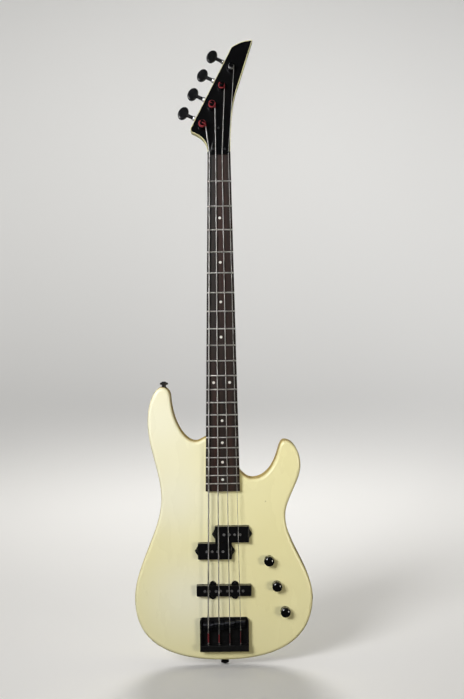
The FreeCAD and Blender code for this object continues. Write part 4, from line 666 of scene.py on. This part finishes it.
def makeKnobs():
    # A profile turned round the knob's axis: the dome's height is its rise times (1 - (r / R)^power), and in
    # the knurled band the radius drops by the depth times the square of half the wave of the angle.
    s = knobSettings
    domeAt = np.linspace(1, s["domeCentre"], s["domeRows"]) * s["domeRadius"]
    domeHeight = s["domeFoot"] + s["domeRise"] * (1 - (domeAt / s["domeRadius"]) ** s["domePower"])
    dome = np.stack([domeAt, domeHeight], -1)
    profile = np.concatenate([s["skirt"], dome])
    angle = np.linspace(0, fullTurn, s["columns"], endpoint=False)
    low, high = s["knurlBand"]
    inBand = (profile[:, 1] >= low) & (profile[:, 1] <= high)
    wave = np.cos(s["knurls"] * angle / 2) ** 2
    radius = profile[:, :1] - s["knurlDepth"] * inBand[:, None] * wave
    for name in s["names"]:
        place = np.array(jointNamed(name + "_turn")["pos_m"]) / mm
        x, y = place[0], place[2]
        grid = np.stack([x + radius * np.cos(angle), y + radius * np.sin(angle),
                         np.broadcast_to(s["base"] + profile[:, 1:], radius.shape)], -1)
        piece = gridPiece("domed_knob_" + name, upright(grid))
        piece.data.materials.append(knobBlack)
        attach(piece, "knob_" + name)
        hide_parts("knob_" + name)


makeKnobs()
print("bass: knobs turned")


# Pale floor running up into a round wall, soft light and the camera

stageSettings = dict(floor=-0.0134, centre=0.01, curveStart=1.6, curveRadius=3.4, curveRows=24, top=6.0,
                     columns=96, colour=(240, 239, 236), roughness=0.7)


def makeStage():
    # A profile turned round the bass: a line along the floor, a quarter circle and a line up the wall.
    s = stageSettings
    bend = np.linspace(0, np.pi / 2, s["curveRows"])
    wall = s["curveStart"] + s["curveRadius"]
    out = np.concatenate([[s["centre"]], s["curveStart"] + s["curveRadius"] * np.sin(bend), [wall]])[:, None]
    height = np.concatenate([[0], s["curveRadius"] * (1 - np.cos(bend)), [s["top"]]])[:, None] + s["floor"]
    turn = np.linspace(0, fullTurn, s["columns"], endpoint=False)
    grid = np.stack(np.broadcast_arrays(out * np.cos(turn), out * np.sin(turn), height), -1)
    room = gridPiece("pale_room", grid)
    material, _, _ = newFinish("pale_paper", s["colour"], s["roughness"])
    room.data.materials.append(material)
    room.visible_glossy = False
    room.visible_diffuse = False


lightSettings = dict(
    horizon=0.03, zenith=0.35, dusk=0.6,
    offRoom=("left_strip", "edge_strip"),  # their light falls on the bass alone
    boxes=(dict(name="left_softbox", at=(-1.3, -2.0, 1.5), aim=(-0.05, 0.0, 0.8), power=10.8,
                size=(1.0, 1.0), spread=62.0, colour=(0.985, 0.985, 1.0), mirrored=True),
           dict(name="right_softbox", at=(1.5, -1.6, 0.12), aim=(0.05, 0.0, 0.25), power=5.6,
                size=(0.6, 0.6), spread=90.0, colour=(1.0, 0.93, 0.78), mirrored=True),
           dict(name="left_strip", at=(-2.2, -0.5, 0.9), aim=(0.0, 0.0, 0.9), power=6.0,
                size=(0.2, 1.6), spread=180.0, colour=(1.0, 1.0, 1.0), mirrored=True),
           dict(name="edge_strip", at=(-1.7, 0.33, 1.97), aim=(0.0, 0.0, 0.95), power=2.0,
                size=(0.25, 0.9), spread=180.0, colour=(1.0, 1.0, 1.0), mirrored=True),
           dict(name="back_softbox", at=(-0.1, 2.7, 2.0), aim=(0.0, 0.0, 0.5), power=30.0,
                size=(1.4, 1.4), spread=110.0, colour=(1.0, 0.985, 0.96), mirrored=False)),
    wallLamps=dict(count=6, out=2.4, high=3.6, aimOut=5.0, aimHigh=1.2, power=44.0, size=(1.6, 0.8),
                   spread=150.0, colour=(1.0, 1.0, 1.0), mirrored=False))


def makeLamp(name, at, aim, box):
    # One soft box that looks from its place to its aim, with the room left out of its light where the
    # settings say so.
    lamp = bpy.data.lights.new(name, "AREA")
    lamp.shape = "RECTANGLE"
    lamp.size, lamp.size_y = box["size"]
    lamp.spread = np.radians(box["spread"])
    lamp.energy = box["power"]
    lamp.color = box["colour"]
    holder = bpy.data.objects.new(name, lamp)
    bpy.context.scene.collection.objects.link(holder)
    holder.visible_camera = False
    holder.visible_glossy = box["mirrored"]
    holder.matrix_world = lookingAt(at, np.array(aim) - np.array(at), 0.0)
    if name in lightSettings["offRoom"]:
        unlit = bpy.data.collections.new(name + "_unlit")
        unlit.objects.link(bpy.data.objects["pale_room"])
        unlit.collection_objects[0].light_linking.link_state = "EXCLUDE"
        holder.light_linking.receiver_collection = unlit


def makeLight():
    # Soft boxes turned to their places on the bass, a ring of them turned out to the wall, and a world that
    # brightens overhead: its strength goes from one value to the other as the direction's z goes from dusk
    # to 1. The one behind the bass and the ring stay out of its gloss.
    s = lightSettings
    world = bpy.data.worlds.new("studio")
    world.use_nodes = True
    coords = addNode(world, "ShaderNodeTexCoord").outputs["Generated"]
    parts = addNode(world, "ShaderNodeSeparateXYZ", {"Vector": coords})
    strength = spread(world, parts.outputs["Z"], s["dusk"], 1.0, s["horizon"], s["zenith"])
    feed(world, world.node_tree.nodes["Background"], "Strength", strength)
    world.node_tree.nodes["Background"].inputs["Color"].default_value = (1.0, 1.0, 1.0, 1.0)
    bpy.context.scene.world = world
    for box in s["boxes"]:
        makeLamp(box["name"], box["at"], box["aim"], box)
    ring = s["wallLamps"]
    for index in range(ring["count"]):
        turn = np.pi / 2 + fullTurn * index / ring["count"]
        across = np.array([np.cos(turn), np.sin(turn)])
        at = np.append(ring["out"] * across, ring["high"])
        makeLamp("wall_lamp_%d" % index, at, np.append(ring["aimOut"] * across, ring["aimHigh"]), ring)


cameraSettings = dict(at=(0.0199, -1.9317, 0.64587), dip=0.0331, roll=-0.0112, focal=1030.3575,
                      imageHeight=699, sensor=36.0)


def makeCamera():
    # The lens is the sensor times the focal length in pixels over the image's long side.
    s = cameraSettings
    lens = bpy.data.cameras.new("photo_camera")
    lens.sensor_width = s["sensor"]
    lens.lens = s["sensor"] * s["focal"] / s["imageHeight"]
    camera = bpy.data.objects.new("photo_camera", lens)
    bpy.context.scene.collection.objects.link(camera)
    camera.matrix_world = lookingAt(s["at"], (0, np.cos(s["dip"]), -np.sin(s["dip"])), s["roll"])
    bpy.context.scene.camera = camera


makeStage()
makeLight()
makeCamera()
bpy.context.scene.view_settings.view_transform = "Standard"
print("bass: stage, light and camera")
